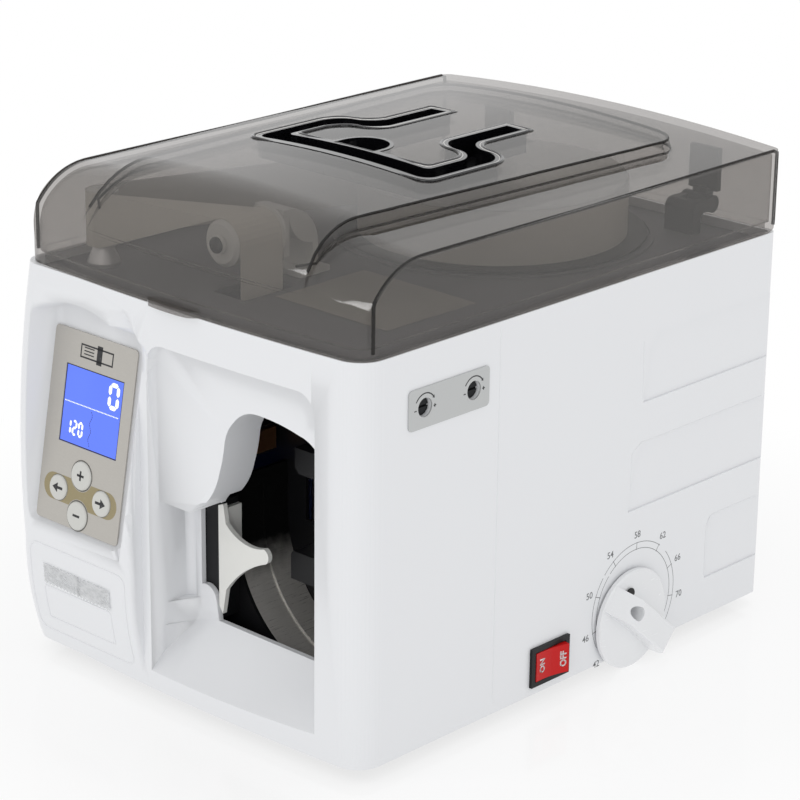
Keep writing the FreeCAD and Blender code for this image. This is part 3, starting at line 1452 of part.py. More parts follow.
def guide_parts():
    deck_top = S.deck_top
    low, high = S.post_low, S.post_high
    pin = new_body("guide_pin")
    rise = low - deck_top
    turn(pin, [(0, 0), (9, 0), (9, 2), (5, rise - 0.3), (2.4, rise - 0.3), (2.4, high - deck_top + 0.6),
               (0, high - deck_top + 0.6)])
    place(pin, S.post_x, S.post_y, deck_top)
    node(pin, "guide_pin")
    post = new_body("guide_post")
    turn(post, [(2.45, 0), (S.post_radius - 0.6, 0), (S.post_radius, 0.6),
                (S.post_radius, S.post_length - 0.6), (S.post_radius - 0.6, S.post_length),
                (2.45, S.post_length)])
    place(post, S.post_x, S.post_y, low)
    node(post, "guide_post")

    half = S.tape_width / 2
    roller = new_body("top_roller")
    turn(roller, [(2.6, -half - 2), (S.roller_radius - 2, -half - 2), (S.roller_radius, -half),
                  (S.roller_radius, half), (S.roller_radius + 2.2, half + 0.5),
                  (S.roller_radius + 2.2, half + 2),
                  (2.6, half + 2)])
    place(roller, S.roller_x, S.tape_y, S.roller_z, TURNS["Y"])
    node(roller, "top_roller")
    rear = S.tape_y + half + 3
    axle = fuse(
        "roller_axle",
        rod("roller_axle_rod", "Y", 2.4, S.tape_y - half - 4, rear + 4, S.roller_x, S.roller_z),
        rod("roller_axle_head", "Y", 5, S.tape_y - half - 4.6, S.tape_y - half - 2.4, S.roller_x,
            S.roller_z),
    )
    bracket = new_body("roller_bracket_form")
    pad(bracket, "X", S.roller_x - 11, S.roller_x + 11, [
        (rear, S.roller_z - 12), (rear + 4, S.roller_z - 12), (rear + 4, S.roller_z + 9),
        (rear + 21, S.roller_z - 8, 18), (rear + 21, deck_top + 3), (rear + 12, deck_top + 3),
        (rear + 12, deck_top), (rear + 34, deck_top), (rear + 34, deck_top + 3),
        (rear + 25, deck_top + 3), (rear + 25, S.roller_z - 8), (rear + 4, S.roller_z + 13, 22),
        (rear, S.roller_z + 13),
    ])
    bore = rod("roller_bracket_bore", "Y", 2.45, rear - 1, rear + 6, S.roller_x, S.roller_z)
    node(group("roller_bracket_group", cut("roller_bracket_plate", bracket, bore), axle), "roller_bracket")


def strip(points_a, points_b):
    """A thin band between two end sections, as a closed solid."""
    loops = [Part.makePolygon(points + points[:1]) for points in (points_a, points_b)]
    return Part.makeLoft(loops, True, True)


def paper_tape():
    """The paper from the roll, round the guide post, over the roller and down to the track."""
    thick = 0.3
    gap = 0.35
    half = S.tape_width.value / 2
    roll_z = S.deck_top.value + 2.7 + half
    post_z = (S.post_low.value + S.post_high.value) / 2
    post = V(S.post_x.value, S.post_y.value, 0)
    reel = V(S.reel_x.value, S.reel_y.value, 0)
    post_r = S.post_radius.value + gap
    reel_r = S.roll_radius.value + gap
    line = post - reel
    along = math.atan2(line.y, line.x)
    lean = math.acos((reel_r - post_r) / line.Length)
    leave = along - lean
    start = reel + V(math.cos(leave), math.sin(leave), 0) * reel_r
    touch = post + V(math.cos(leave), math.sin(leave), 0) * post_r
    out = V(math.cos(leave), math.sin(leave), 0) * thick

    def upright(point, outwards, z):
        return [point + V(0, 0, z - half), point + outwards + V(0, 0, z - half),
                point + outwards + V(0, 0, z + half), point + V(0, 0, z + half)]

    pieces = [strip(upright(start, out, roll_z), upright(touch, out, post_z))]
    steps = 6
    end_angle = math.radians(-55)
    sweep = (end_angle - leave) % (2 * math.pi)
    angles = [leave + sweep * i / steps for i in range(steps + 1)]
    for a, b in zip(angles, angles[1:]):
        rim_a, rim_b = V(math.cos(a), math.sin(a), 0), V(math.cos(b), math.sin(b), 0)
        pieces.append(strip(upright(post + rim_a * post_r, rim_a * thick, post_z),
                            upright(post + rim_b * post_r, rim_b * thick, post_z)))
    roller = V(S.roller_x.value, S.tape_y.value, S.roller_z.value)
    roller_r = S.roller_radius.value + gap

    def lying(angle):
        rim = V(math.cos(angle), 0, math.sin(angle))
        inner, outer = roller + rim * roller_r, roller + rim * (roller_r + thick)
        return [inner + V(0, -half, 0), outer + V(0, -half, 0), outer + V(0, half, 0), inner + V(0, half, 0)]

    rim = V(math.cos(end_angle), math.sin(end_angle), 0)
    leave_post = upright(post + rim * post_r, rim * thick, post_z)
    pieces.append(strip(leave_post, lying(math.radians(112))))
    turns = [math.radians(112) * (1 - i / 8) for i in range(9)]
    for a, b in zip(turns, turns[1:]):
        pieces.append(strip(lying(a), lying(b)))
    down = V(0, 0, S.deck_low.value - 2.7 - S.roller_z.value)
    pieces.append(strip(lying(0), [p + down for p in lying(0)]))
    tape = doc.addObject("Part::Feature", "paper_tape")
    tape.Shape = Part.makeCompound(pieces)
    place(tape, 0, 0, 0)
    node(tape, "paper_tape")


# ---------------------------------------------------------------- electrics


def electrics():
    board = new_body("control_board")
    back = S.board_inset - S.body_half_width
    front = back + S.board_thickness
    left, right = S.board_y, S.board_y + S.board_width
    low, high = S.board_z, S.board_z + S.board_height
    pad(board, "X", back, front, rectangle(left, low, right, high))
    chips = ((20, 20, 22, 22, 6), (60, 20, 14, 30, 14), (20, 70, 30, 16, 4), (80, 80, 18, 18, 12))
    for y, z, width, height, depth in chips:
        pad(board, "X", back + 1, front + depth,
            rectangle(left + y, low + z, left + y + width, low + z + height))
    spacers = [
        rod(f"board_spacer_{i}", "X", 3, -S.body_half_width + S.wall, back, y, z)
        for i, (y, z) in enumerate((y, z) for z in (low + 4, high - 4) for y in (left + 4, right - 4))
    ]
    node(group("control_board_group", board, *spacers), "control_board")
    core = new_body("transformer_core")
    base = S.base_thickness
    limb, gap = S.core_limb, 0.3
    back = S.rear_depth - S.core_inset
    front, middle = back - S.core_depth, back - S.core_depth / 2
    x = S.core_side - S.body_half_width
    left, right = x - S.core_width / 2, x + S.core_width / 2
    low, high = base + limb, base + S.core_height - limb
    pad(core, "X", left, right, rectangle(front, base, back, base + S.core_height))
    pocket(core, "X", left - 1, right + 1, rectangle(front + limb, low, middle - 7, high),
           rectangle(middle + 7, low, back - limb, high))
    coil = new_body("transformer_coil")
    pad(coil, "Z", low + 0.5, high - 0.5,
        rectangle(x - S.coil_width / 2, front + limb + 0.5, x + S.coil_width / 2, back - limb - 0.5),
        rectangle(left - gap, middle - 7 - gap, right + gap, middle + 7 + gap))
    node(group("transformer_group", core, coil), "transformer")
    rear, x, z = S.rear_depth, S.inlet_x, S.inlet_z

    def inlet_box(name, half_width, half_height, low, high):
        return box(name, (x - half_width, x + half_width), (rear + low, rear + high),
                   (z - half_height, z + half_height))

    inlet = fuse(
        "inlet_solid",
        inlet_box("inlet_flange", 17, 13, 0, 2),
        inlet_box("inlet_can", 13.6, 9.6, -22, 1),
    )
    well = inlet_box("inlet_well", 11.5, 7.5, -15, 3)
    pins = [
        box(f"inlet_pin_{i}", (x + side * 7 - 1, x + side * 7 + 1), (rear - 16, rear - 3),
            (z + rise - 2, z + rise + 2))
        for i, (side, rise) in enumerate(((-1, -1), (0, 2.5), (1, -1)))
    ]
    node(fuse("power_inlet", cut("inlet_body", inlet, well), *pins), "power_inlet")
    support = new_body("deck_support")
    top, thick = S.deck_low, 2
    left, right = S.reel_x - 24, S.reel_x + 42
    pad(support, "Y", S.reel_y - 18, S.reel_y + 18, [
        (left, base), (left + 18, base), (left + 18, base + thick), (left + thick, base + thick),
        (left + thick, top - thick), (right - thick, top - thick), (right - thick, base + thick),
        (right - 18, base + thick), (right - 18, base), (right, base), (right, top), (left, top),
    ])
    node(support, "deck_support")


# ---------------------------------------------------------------- the machine

front_shell()
rear_shell()
base_plate()
feet()
deck()
lid()
lid_trim()
hinges()
console_parts()
power_switch()
dial()
note_stop()
tension_parts()
strap_track()
frames()
feed_parts()
press_parts()
head_parts()
throat_parts()
reel_parts()
guide_parts()
paper_tape()
electrics()
doc.recompute()

failed = [item for item in doc.Objects if "Invalid" in item.State or "Error" in item.State]
if failed:
    raise RuntimeError("; ".join(f"{item.Label}: {item.getStatusString()}" for item in failed))
os.makedirs("parts", exist_ok=True)
for name, obj in NODES:
    if obj.Shape.isNull() or not obj.Shape.isValid() or not obj.Shape.Solids:
        raise RuntimeError(f"{name} has no valid shape")
for name, obj in NODES:
    obj.Shape.exportStep(f"parts/{name}.step")
print(len(NODES), "nodes")
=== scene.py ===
# %% [markdown]
# # A banknote strapping machine, finished in Blender
# The machine stands on a desk and wraps a paper tape round a bundle of notes. Its pieces come
# from a CAD model at their real size. Here they get their finishes, their printing and their
# small fittings. Every piece stays in the CAD model's own frame: metres, Z up, the front towards
# -Y.

# %% Load the fixed frame
import json
import math

import bmesh
import bpy
from mathutils import Matrix, Vector
from mathutils.bvhtree import BVHTree


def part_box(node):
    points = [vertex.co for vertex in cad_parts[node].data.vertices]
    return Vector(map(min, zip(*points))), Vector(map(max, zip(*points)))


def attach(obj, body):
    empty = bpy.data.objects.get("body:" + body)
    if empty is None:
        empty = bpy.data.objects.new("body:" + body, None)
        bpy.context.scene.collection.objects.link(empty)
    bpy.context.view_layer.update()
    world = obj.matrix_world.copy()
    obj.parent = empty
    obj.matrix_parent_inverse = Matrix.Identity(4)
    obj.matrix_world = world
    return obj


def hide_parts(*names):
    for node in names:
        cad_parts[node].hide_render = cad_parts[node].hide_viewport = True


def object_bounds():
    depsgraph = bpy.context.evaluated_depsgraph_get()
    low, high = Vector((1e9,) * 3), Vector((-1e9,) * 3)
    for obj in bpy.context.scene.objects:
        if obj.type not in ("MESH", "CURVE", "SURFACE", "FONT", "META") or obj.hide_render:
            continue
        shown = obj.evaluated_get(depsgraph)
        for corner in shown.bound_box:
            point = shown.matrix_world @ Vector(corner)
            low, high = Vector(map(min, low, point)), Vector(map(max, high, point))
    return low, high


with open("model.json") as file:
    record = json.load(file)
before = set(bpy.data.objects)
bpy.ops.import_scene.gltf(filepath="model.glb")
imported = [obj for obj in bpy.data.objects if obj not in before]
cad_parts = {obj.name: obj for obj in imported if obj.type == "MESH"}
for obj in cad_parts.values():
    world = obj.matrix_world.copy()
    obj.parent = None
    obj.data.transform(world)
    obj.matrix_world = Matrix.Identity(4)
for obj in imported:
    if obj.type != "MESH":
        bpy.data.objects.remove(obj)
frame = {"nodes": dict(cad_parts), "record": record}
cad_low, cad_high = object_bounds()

# %% [markdown]
# ## Places
# The drawings of the machine give heights from the underside of the casing, in millimetres. The
# casing stands on feet, so one function turns a drawing place into a place on the desk. Flat
# things, such as printing, are drawn on a face: a point, a way across and a way up. That keeps a
# label's drawing simple however the label leans.

# %% Millimetres and faces
MM = 0.001
FEET = 8


def at(x, y, z):
    """A place in the drawing, as a place in the room."""
    return Vector((x, y, z + FEET)) * MM


class Face:
    """A flat face of the machine to draw on, in millimetres across and up from its middle."""

    def __init__(self, middle, across, up):
        self.middle = middle
        self.across = Vector(across).normalized()
        self.up = Vector(up).normalized()
        self.out = self.across.cross(self.up)

    def spot(self, x, y, lift=0.0):
        """A point of the face, lifted off it by some millimetres."""
        return self.middle + (self.across * x + self.up * y + self.out * lift) * MM

    def matrix(self, lift=0.0):
        """What moves a flat drawing in millimetres onto the face."""
        turned = Matrix((self.across, self.up, self.out)).transposed().to_4x4()
        return Matrix.Translation(self.spot(0, 0, lift)) @ turned @ Matrix.Scale(MM, 4)


CONSOLE_TILT = math.radians(10)
LABEL_MIDDLE = (-76, -167, 129.2)
BODY_HALF_WIDTH = 125
label_face = Face(at(*LABEL_MIDDLE), (1, 0, 0), (0, math.sin(CONSOLE_TILT), math.cos(CONSOLE_TILT)))
side_face = Face(at(BODY_HALF_WIDTH, 0, 0), (0, 1, 0), (0, 0, 1))
print("the label faces", [round(v, 2) for v in label_face.out])

# %% [markdown]
# ## Shader sums written as Python
# A procedural finish is mostly sums on numbers that vary over the surface. A small class wraps a
# node's output and adds a Math node for every operator, so that `0.3 + grain * 0.1` builds the
# nodes that it says. The other way round works too, which is why each operator has its reflected
# form.

# %% Wire
class Wire:
    """An output that varies over the surface; sums with it add Math nodes."""

    def __init__(self, finish, socket):
        self.finish = finish
        self.socket = socket

    def sum(self, operation, first, second):
        """A Math node on two numbers or wires."""
        return self.finish.node(
            "ShaderNodeMath", {"operation": operation}, {"Value": first, "Value_001": second}
        )

    def __add__(self, other):
        return self.sum("ADD", self, other)

    __radd__ = __add__

    def __sub__(self, other):
        return self.sum("SUBTRACT", self, other)

    def __rsub__(self, other):
        return self.sum("SUBTRACT", other, self)

    def __mul__(self, other):
        return self.sum("MULTIPLY", self, other)

    __rmul__ = __mul__

    def __pow__(self, other):
        return self.sum("POWER", self, other)


print("wires add, take away, multiply and raise to a power")

# %% [markdown]
# ## A finish and its nodes
# A material is a tree of nodes. One class holds it, with a method that adds any node from its
# type, its settings and the values of its sockets, and short methods for the few that every
# finish needs: soft noise, a ramp, a mix of two colours, a bump and the Principled shader. Every
# pattern reads the piece's own Object coordinates, so that it keeps its size in millimetres on
# every piece.

# %% Colours, stops and sockets
BLACK = (0, 0, 0)
WHITE = (1, 1, 1)


def rgb(red, green, blue):
    """A colour as a socket takes it."""
    return (red, green, blue, 1.0)


def shade(colour, factor):
    """A colour made darker or lighter, up to white."""
    return rgb(*(min(c * factor, 1) for c in colour))


def set_stops(ramp, stops):
    """Replaces a new ramp's stops."""
    while len(ramp.elements) > 1:
        ramp.elements.remove(ramp.elements[-1])
    for i, (place, colour) in enumerate(stops):
        stop = ramp.elements[0] if i == 0 else ramp.elements.new(place)
        stop.position = place
        stop.color = rgb(*colour)


def socket_called(sockets, key):
    """The socket with that identifier, or else with that name."""
    for socket in sockets:
        if socket.identifier == key:
            return socket
    return sockets[key]


print("half of white is", shade(WHITE, 0.5))

# %% Finish
finishes = {}


class Finish:
    """A material and the nodes that grow on it."""

    def __init__(self, name):
        self.name = name
        self.material = bpy.data.materials.new(name)
        self.material.use_nodes = True
        self.tree = self.material.node_tree
        self.tree.nodes.clear()

    def node(self, kind, settings=None, values=None, out=0):
        """Adds a node: its settings first, then the numbers or wires of its sockets."""
        node = self.tree.nodes.new(kind)
        for name, value in (settings or {}).items():
            if name == "stops":
                set_stops(node.color_ramp, value)
            else:
                setattr(node, name, value)
        for key, value in (values or {}).items():
            socket = socket_called(node.inputs, key)
            if isinstance(value, Wire):
                self.tree.links.new(value.socket, socket)
            else:
                socket.default_value = value
        if out is None:
            return None
        if isinstance(out, str):
            return Wire(self, socket_called(node.outputs, out))
        return Wire(self, node.outputs[out])

    def place(self, stretch=(1, 1, 1), turn=(0, 0, 0)):
        """The piece's own coordinates, stretched or turned for a pattern."""
        here = self.node("ShaderNodeTexCoord", out="Object")
        if stretch == (1, 1, 1) and turn == (0, 0, 0):
            return here
        values = {"Vector": here, "Scale": stretch, "Rotation": turn}
        return self.node("ShaderNodeMapping", None, values)

    def axis(self, name):
        """How far along X, Y or Z the surface is, in metres."""
        here = self.node("ShaderNodeTexCoord", out="Object")
        return self.node("ShaderNodeSeparateXYZ", None, {"Vector": here}, out=name)

    def noise(self, size, detail, stretch=(1, 1, 1), rough=0.55):
        """Soft random patches of about that size in millimetres, from 0 to 1."""
        values = {"Scale": 1 / (size * MM), "Detail": detail, "Roughness": rough}
        return self.node("ShaderNodeTexNoise", None, {"Vector": self.place(stretch), **values})

    def layers(self, wire, size):
        """Stripes of about that size in millimetres, from 0 to 1, uneven as wound paper is."""
        turns = wire * (2 * math.pi / (size * MM))
        coarse = self.node("ShaderNodeMath", {"operation": "SINE"}, {"Value": turns})
        fine = self.node("ShaderNodeMath", {"operation": "SINE"}, {"Value": turns * 2.7})
        return coarse * 0.25 + fine * 0.25 + 0.5

    def ramp(self, wire, *stops):
        """A Color Ramp with stops of a place and a colour each."""
        return self.node("ShaderNodeValToRGB", {"stops": stops}, {"Fac": wire})

    def mix(self, share, first, second):
        """A colour between two colours."""
        return self.node(
            "ShaderNodeMix",
            {"data_type": "RGBA"},
            {"Factor_Float": share, "A_Color": first, "B_Color": second},
            out="Result_Color",
        )

    def bump(self, height, distance):
        """A surface that rises with height, by that many millimetres at most."""
        values = {"Height": height, "Distance": distance * MM, "Strength": 1.0}
        return self.node("ShaderNodeBump", None, values)

    def surface(self, **sockets):
        """The Principled shader, with the numbers and wires of its sockets."""
        named = {key.replace("_", " "): value for key, value in sockets.items()}
        return self.node("ShaderNodeBsdfPrincipled", None, named)

    def blend(self, share, first, second):
        """A shader between two shaders."""
        values = {"Fac": share, "Shader": first, "Shader_001": second}
        return self.node("ShaderNodeMixShader", None, values)

    def clear(self, tint):
        """A shader that lets light straight through, tinted."""
        return self.node("ShaderNodeBsdfTransparent", None, {"Color": tint})

    def done(self, shader):
        """Closes the material with its output node, and keeps it by its name."""
        self.node("ShaderNodeOutputMaterial", None, {"Surface": shader}, out=None)
        finishes[self.name] = self.material


print("ready to mix finishes")

# %% [markdown]
# ## Moulded plastic
# Most of the machine is moulded ABS and acrylic. Such plastic isn't one even colour: it has a
# faint cloudiness from the melt, a skin with a very shallow orange-peel, and fine hairline scuffs
# from years on a counter. An image would blur close up, so noise of three sizes makes these. One
# function does it for every plastic, and a table says how strong each part is.

# %% Moulded plastic
def moulded(name, colour, rough, cloud, peel, grain=0.0, scuffs=0.05, **sockets):
    """Moulded plastic; peel and grain are heights in millimetres."""
    finish = Finish(name)
    tone = finish.mix(finish.noise(60, 2), shade(colour, 1 - cloud), shade(colour, 1 + cloud))
    hairs = finish.noise(1.6, 4, stretch=(1, 0.06, 1), rough=0.7)
    scratched = finish.ramp(hairs, (0.6, BLACK), (0.72, WHITE))
    patches = finish.noise(25, 3)
    height = finish.noise(2.2, 1) * 0.8
    if grain:
        height = height + finish.noise(0.35, 2) * (grain / peel)
    shader = finish.surface(
        Base_Color=tone,
        Roughness=patches * 0.06 + scratched * scuffs + (rough - 0.03),
        Normal=finish.bump(height, peel),
        **sockets,
    )
    finish.done(shader)


print("moulded plastic ready")

# %% The plastics
PLASTICS = {
    "casing_white": dict(colour=(0.79, 0.8, 0.82), rough=0.3, cloud=0.006, peel=0.003, scuffs=0.03),
    "knob_white": dict(colour=(0.8, 0.81, 0.825), rough=0.26, cloud=0.008, peel=0.003, scuffs=0.03),
    "plain_white": dict(colour=(0.74, 0.74, 0.71), rough=0.42, cloud=0.05, peel=0.02, grain=0.01),
    "satin_black": dict(
        colour=(0.008, 0.008, 0.009), rough=0.42, cloud=0.2, peel=0.02, grain=0.02,
        Specular_IOR_Level=0.25,
    ),
    "gloss_black": dict(
        colour=(0.004, 0.004, 0.005), rough=0.08, cloud=0.2, peel=0.004, scuffs=0.12,
        Coat_Weight=0.6,
    ),
    "tray_grey": dict(colour=(0.12, 0.116, 0.128), rough=0.5, cloud=0.12, peel=0.02, grain=0.03),
    "signal_red": dict(
        colour=(0.53, 0.008, 0.008), rough=0.3, cloud=0.05, peel=0.006, Specular_IOR_Level=0.2,
    ),
    "key_grey": dict(colour=(0.6, 0.6, 0.57), rough=0.4, cloud=0.03, peel=0.01, grain=0.01),
}
for name, look in PLASTICS.items():
    moulded(name, **look)
print("plastics:", list(finishes))

# %% [markdown]
# ## Smoked acrylic
# The lid is clear acrylic with a grey-brown smoke in it. Light goes straight through a thin wall
# with hardly any bend, so each face is a mix of three parts: a see-through part, tinted by the
# smoke; a thin haze, from fine dust and scratches, that catches the room's light; and a mirror
# part that grows towards the edges of what is seen, as on any glossy surface. Where the wall is
# seen edge-on, light crosses more of it, so the tint is darker there.

# %% Smoked clear
def smoked(name, tint, edge_tint, haze_colour, haze):
    """Smoked acrylic, with a tint for a wall seen square on and one for it seen edge-on."""
    finish = Finish(name)
    specks = finish.ramp(finish.noise(1.1, 4, rough=0.8), (0.66, BLACK), (0.74, WHITE))
    film = finish.noise(45, 3)
    facing = finish.node("ShaderNodeLayerWeight", None, {"Blend": 0.5}, out="Facing")
    through = finish.blend(facing ** 3, finish.clear(tint), finish.clear(edge_tint))
    dust = finish.surface(Base_Color=haze_colour, Roughness=film * 0.2 + 0.5)
    share = film * (haze * 0.4) + specks * 0.02 + haze * 0.8
    hazy = finish.blend(share, through, dust)
    mirror = facing ** 5 * 0.9 + 0.04
    gloss = finish.surface(
        Base_Color=rgb(0.9, 0.9, 0.9),
        Metallic=1.0,
        Roughness=film * 0.05 + specks * 0.2 + 0.01,
        Normal=finish.bump(finish.noise(9, 1), 0.012),
    )
    finish.done(finish.blend(mirror, hazy, gloss))


SMOKE_TINT = rgb(0.72, 0.707, 0.697)
SMOKE_EDGE = rgb(0.24, 0.225, 0.215)
DUST_GREY = rgb(0.55, 0.53, 0.5)
smoked("smoked_clear", SMOKE_TINT, SMOKE_EDGE, DUST_GREY, 0.05)
print("smoked acrylic tint:", [round(c, 2) for c in SMOKE_TINT[:3]])

# %% [markdown]
# ## Metals
# Plated and brushed metal shows the direction it was worked in: fine streaks that stretch the
# highlights. The streaks come from noise that is squeezed across one axis. Painted steel has no
# streaks but a fine spatter from the spray gun. Both are a little duller in patches, where hands
# and grease have been. The strap track is blackened steel, and its lower part has a painted
# highlight: a lighter, partly metallic colour for the front light that it reflects there.

# %% Brushed metal
STREAK_DEPTH = 0.004


def brushed(name, colour, rough, along=(1, 0.05, 1)):
    """Bare metal, with streaks that are long where along is small."""
    finish = Finish(name)
    streaks = finish.noise(0.5, 4, stretch=along, rough=0.7)
    smears = finish.noise(18, 4)
    tone = finish.mix(streaks * 0.6 + smears * 0.4, shade(colour, 0.82), shade(colour, 1.1))
    shader = finish.surface(
        Base_Color=tone,
        Metallic=1.0,
        Roughness=streaks * 0.12 + smears * 0.16 + (rough - 0.12),
        Normal=finish.bump(streaks, STREAK_DEPTH),
    )
    finish.done(shader)


brushed("plated_steel", (0.62, 0.61, 0.6), rough=0.3, along=(0.05, 1, 1))
brushed("turned_aluminium", (0.8, 0.8, 0.81), rough=0.32, along=(1, 1, 0.05))
brushed("copper", (0.75, 0.36, 0.18), rough=0.3)
brushed("blade_steel", (0.7, 0.7, 0.7), rough=0.2, along=(1, 0.03, 1))
brushed("silver_line", (0.6, 0.59, 0.58), rough=0.3)
print("brushed metals:", list(finishes)[-5:])


# %% The track, with a painted highlight low down
BRIGHT_BELOW = 0.066
BLACK_ABOVE = 0.084


def worn_track(name):
    """Blackened steel with a painted highlight low down, for the front light that it reflects."""
    finish = Finish(name)
    streaks = finish.noise(0.5, 4, stretch=(1, 0.04, 1), rough=0.7)
    height = finish.axis("Z") + finish.noise(9, 3) * 0.012
    # painted highlight: below this height the colour turns to light steel, standing for reflected
    # front light
    bright = finish.ramp(height, (BRIGHT_BELOW, WHITE), (BLACK_ABOVE, BLACK))
    steel = finish.mix(streaks, rgb(0.55, 0.53, 0.5), rgb(0.85, 0.83, 0.79))
    tone = finish.mix(bright, rgb(0.006, 0.006, 0.006), steel)
    shader = finish.surface(
        Base_Color=tone,
        Metallic=bright * 0.45,
        Roughness=streaks * 0.15 + 0.22,
        Normal=finish.bump(streaks, STREAK_DEPTH),
        Specular_IOR_Level=0.2,
    )
    finish.done(shader)


worn_track("track_steel")
print("the track is bright below", BRIGHT_BELOW, "m")


# %% Sprayed paint
def sprayed(name, colour, rough):
    """Sprayed steel, with a fine spatter and hardly any sheen."""
    finish = Finish(name)
    spatter = finish.noise(0.8, 2)
    patches = finish.noise(40, 3)
    tone = finish.mix(patches, shade(colour, 0.88), shade(colour, 1.1))
    shader = finish.surface(
        Base_Color=tone,
        Roughness=patches * 0.15 + (rough - 0.07),
        Normal=finish.bump(spatter, 0.02),
        Specular_IOR_Level=0.12,
    )
    finish.done(shader)


sprayed("frame_paint", (0.008, 0.008, 0.009), rough=0.45)
sprayed("chassis_paint", (0.02, 0.021, 0.023), rough=0.5)
print("paints:", list(finishes)[-2:])

# %% [markdown]
# ## Silver plates
# The console's label and the plate beside the two adjusting holes are printed aluminium: a warm
# silver paint with a fine grain, more satin than mirror. A little metallic is enough, because the
# lacquer over the print hides most of the metal's own reflection. The grain is noise stretched
# across the plate, the way such a plate is rolled.

# %% Label silver
def silver_plate(name, colour):
    """Printed aluminium under lacquer."""
    finish = Finish(name)
    grain = finish.noise(0.4, 3, stretch=(0.15, 1, 1))
    patches = finish.noise(30, 2)
    tone = finish.mix(grain, shade(colour, 0.94), shade(colour, 1.05))
    shader = finish.surface(
        Base_Color=tone,
        Metallic=0.25,
        Roughness=patches * 0.12 + 0.34,
        Normal=finish.bump(grain, STREAK_DEPTH),
        Coat_Weight=0.15,
    )
    finish.done(shader)


silver_plate("label_silver", (0.47, 0.45, 0.415))
silver_plate("hole_silver", (0.5, 0.51, 0.51))
print("plates:", list(finishes)[-2:])

# %% [markdown]
# ## Rubber, paper and electric parts
# Rubber is dark, dull and dusty. Paper tape is wound so tightly that the edge of the roll shows
# its layers as fine rings. Rings modelled one by one would need thousands of faces, so a sine of
# the distance from the reel's axis draws them. The board is green lacquer over copper tracks, and
# the transformer's core is a stack of thin iron sheets.

# %% Rubber
def rubber(name, colour):
    """Dull dark rubber with dust in its pores."""
    finish = Finish(name)
    dust = finish.ramp(finish.noise(6, 4, rough=0.7), (0.45, BLACK), (0.75, (0.5, 0.5, 0.5)))
    pores = finish.noise(0.5, 3)
    shader = finish.surface(
        Base_Color=finish.mix(dust, rgb(*colour), rgb(0.14, 0.135, 0.13)),
        Roughness=pores * 0.15 + 0.68,
        Normal=finish.bump(pores, 0.05),
    )
    finish.done(shader)


rubber("foot_rubber", (0.018, 0.018, 0.018))
rubber("roller_rubber", (0.03, 0.028, 0.026))
print("rubbers:", list(finishes)[-2:])


# %% Paper
REEL_X = 4
REEL_Y = 62


def paper(name, colour, wound=False):
    """Paper, with the rings of its windings where it is a roll's edge."""
    finish = Finish(name)
    fibres = finish.noise(0.7, 5, rough=0.75)
    stains = finish.noise(35, 3)
    tone = finish.mix(stains * 0.6 + fibres * 0.4, shade(colour, 0.9), rgb(*colour))
    height = fibres
    if wound:
        x = finish.axis("X") - REEL_X * MM
        y = finish.axis("Y") - REEL_Y * MM
        radius = (x * x + y * y) ** 0.5
        wobble = finish.noise(14, 2) * 0.0006
        windings = finish.layers(radius + wobble, 1.3)
        tone = finish.mix(windings, shade(colour, 0.84), tone)
        height = fibres * 0.3 + windings
    shader = finish.surface(
        Base_Color=tone,
        Roughness=fibres * 0.1 + 0.62,
        Normal=finish.bump(height, 0.06),
    )
    finish.done(shader)


paper("tape_paper", (0.72, 0.69, 0.62))
paper("roll_paper", (0.7, 0.67, 0.6), wound=True)
paper("card_paper", (0.3, 0.28, 0.24))
print("papers:", list(finishes)[-3:])


# %% Circuit board and iron core
def circuit_board(name):
    """Green lacquer over copper tracks, which a fine brick pattern stands for."""
    finish = Finish(name)
    upright = finish.place(turn=(0, math.radians(90), 0))
    tracks = finish.node(
        "ShaderNodeTexBrick",
        {"offset": 0.5},
        {"Vector": upright, "Scale": 160.0, "Mortar Size": 0.06},
        out="Fac",
    )
    blotch = finish.noise(8, 3)
    tone = finish.mix(tracks, rgb(0.012, 0.11, 0.045), rgb(0.03, 0.2, 0.08))
    tone = finish.mix(blotch * 0.2, tone, rgb(0.02, 0.07, 0.04))
    shader = finish.surface(
        Base_Color=tone,
        Roughness=blotch * 0.2 + 0.25,
        Normal=finish.bump(tracks, 0.05),
    )
    finish.done(shader)


def wound_iron(name):
    """The transformer's core: thin sheets of iron on edge, with a little rust."""
    finish = Finish(name)
    sheets = finish.layers(finish.axis("X"), 1.0)
    rust = finish.noise(9, 4, rough=0.7)
    rusted = finish.ramp(rust, (0.62, BLACK), (0.8, (0.6, 0.6, 0.6)))
    tone = finish.mix(sheets, rgb(0.03, 0.03, 0.032), rgb(0.09, 0.088, 0.085))
    shader = finish.surface(
        Base_Color=finish.mix(rusted, tone, rgb(0.12, 0.06, 0.03)),
        Roughness=rust * 0.2 + 0.45,
        Normal=finish.bump(sheets, 0.08),
    )
    finish.done(shader)


circuit_board("board_green")
wound_iron("laminated_iron")
print("finishes so far:", len(finishes))

# %% [markdown]
# ## The lit display
# The display is a blue backlit panel. It glows nearly evenly, and its figures are clear gaps that
# let the white light through. A lamp behind it would colour its surroundings, so its surface glows
# by itself, and weakly: it reads as a lit panel in a bright room.

# %% Display finishes
def backlit(name, colour, strength):
    """A panel that glows weakly and evenly."""
    finish = Finish(name)
    glow = finish.noise(30, 1)
    shader = finish.surface(
        Base_Color=finish.mix(glow, shade(colour, 0.5), shade(colour, 0.6)),
        Emission_Color=finish.mix(glow, shade(colour, 0.85), rgb(*colour)),
        Emission_Strength=strength,
        Roughness=glow * 0.04 + 0.08,
    )
    finish.done(shader)


backlit("display_blue", (0.1, 0.19, 0.95), 0.62)
backlit("display_figures", (0.95, 0.97, 1.0), 0.9)
print("display lit")

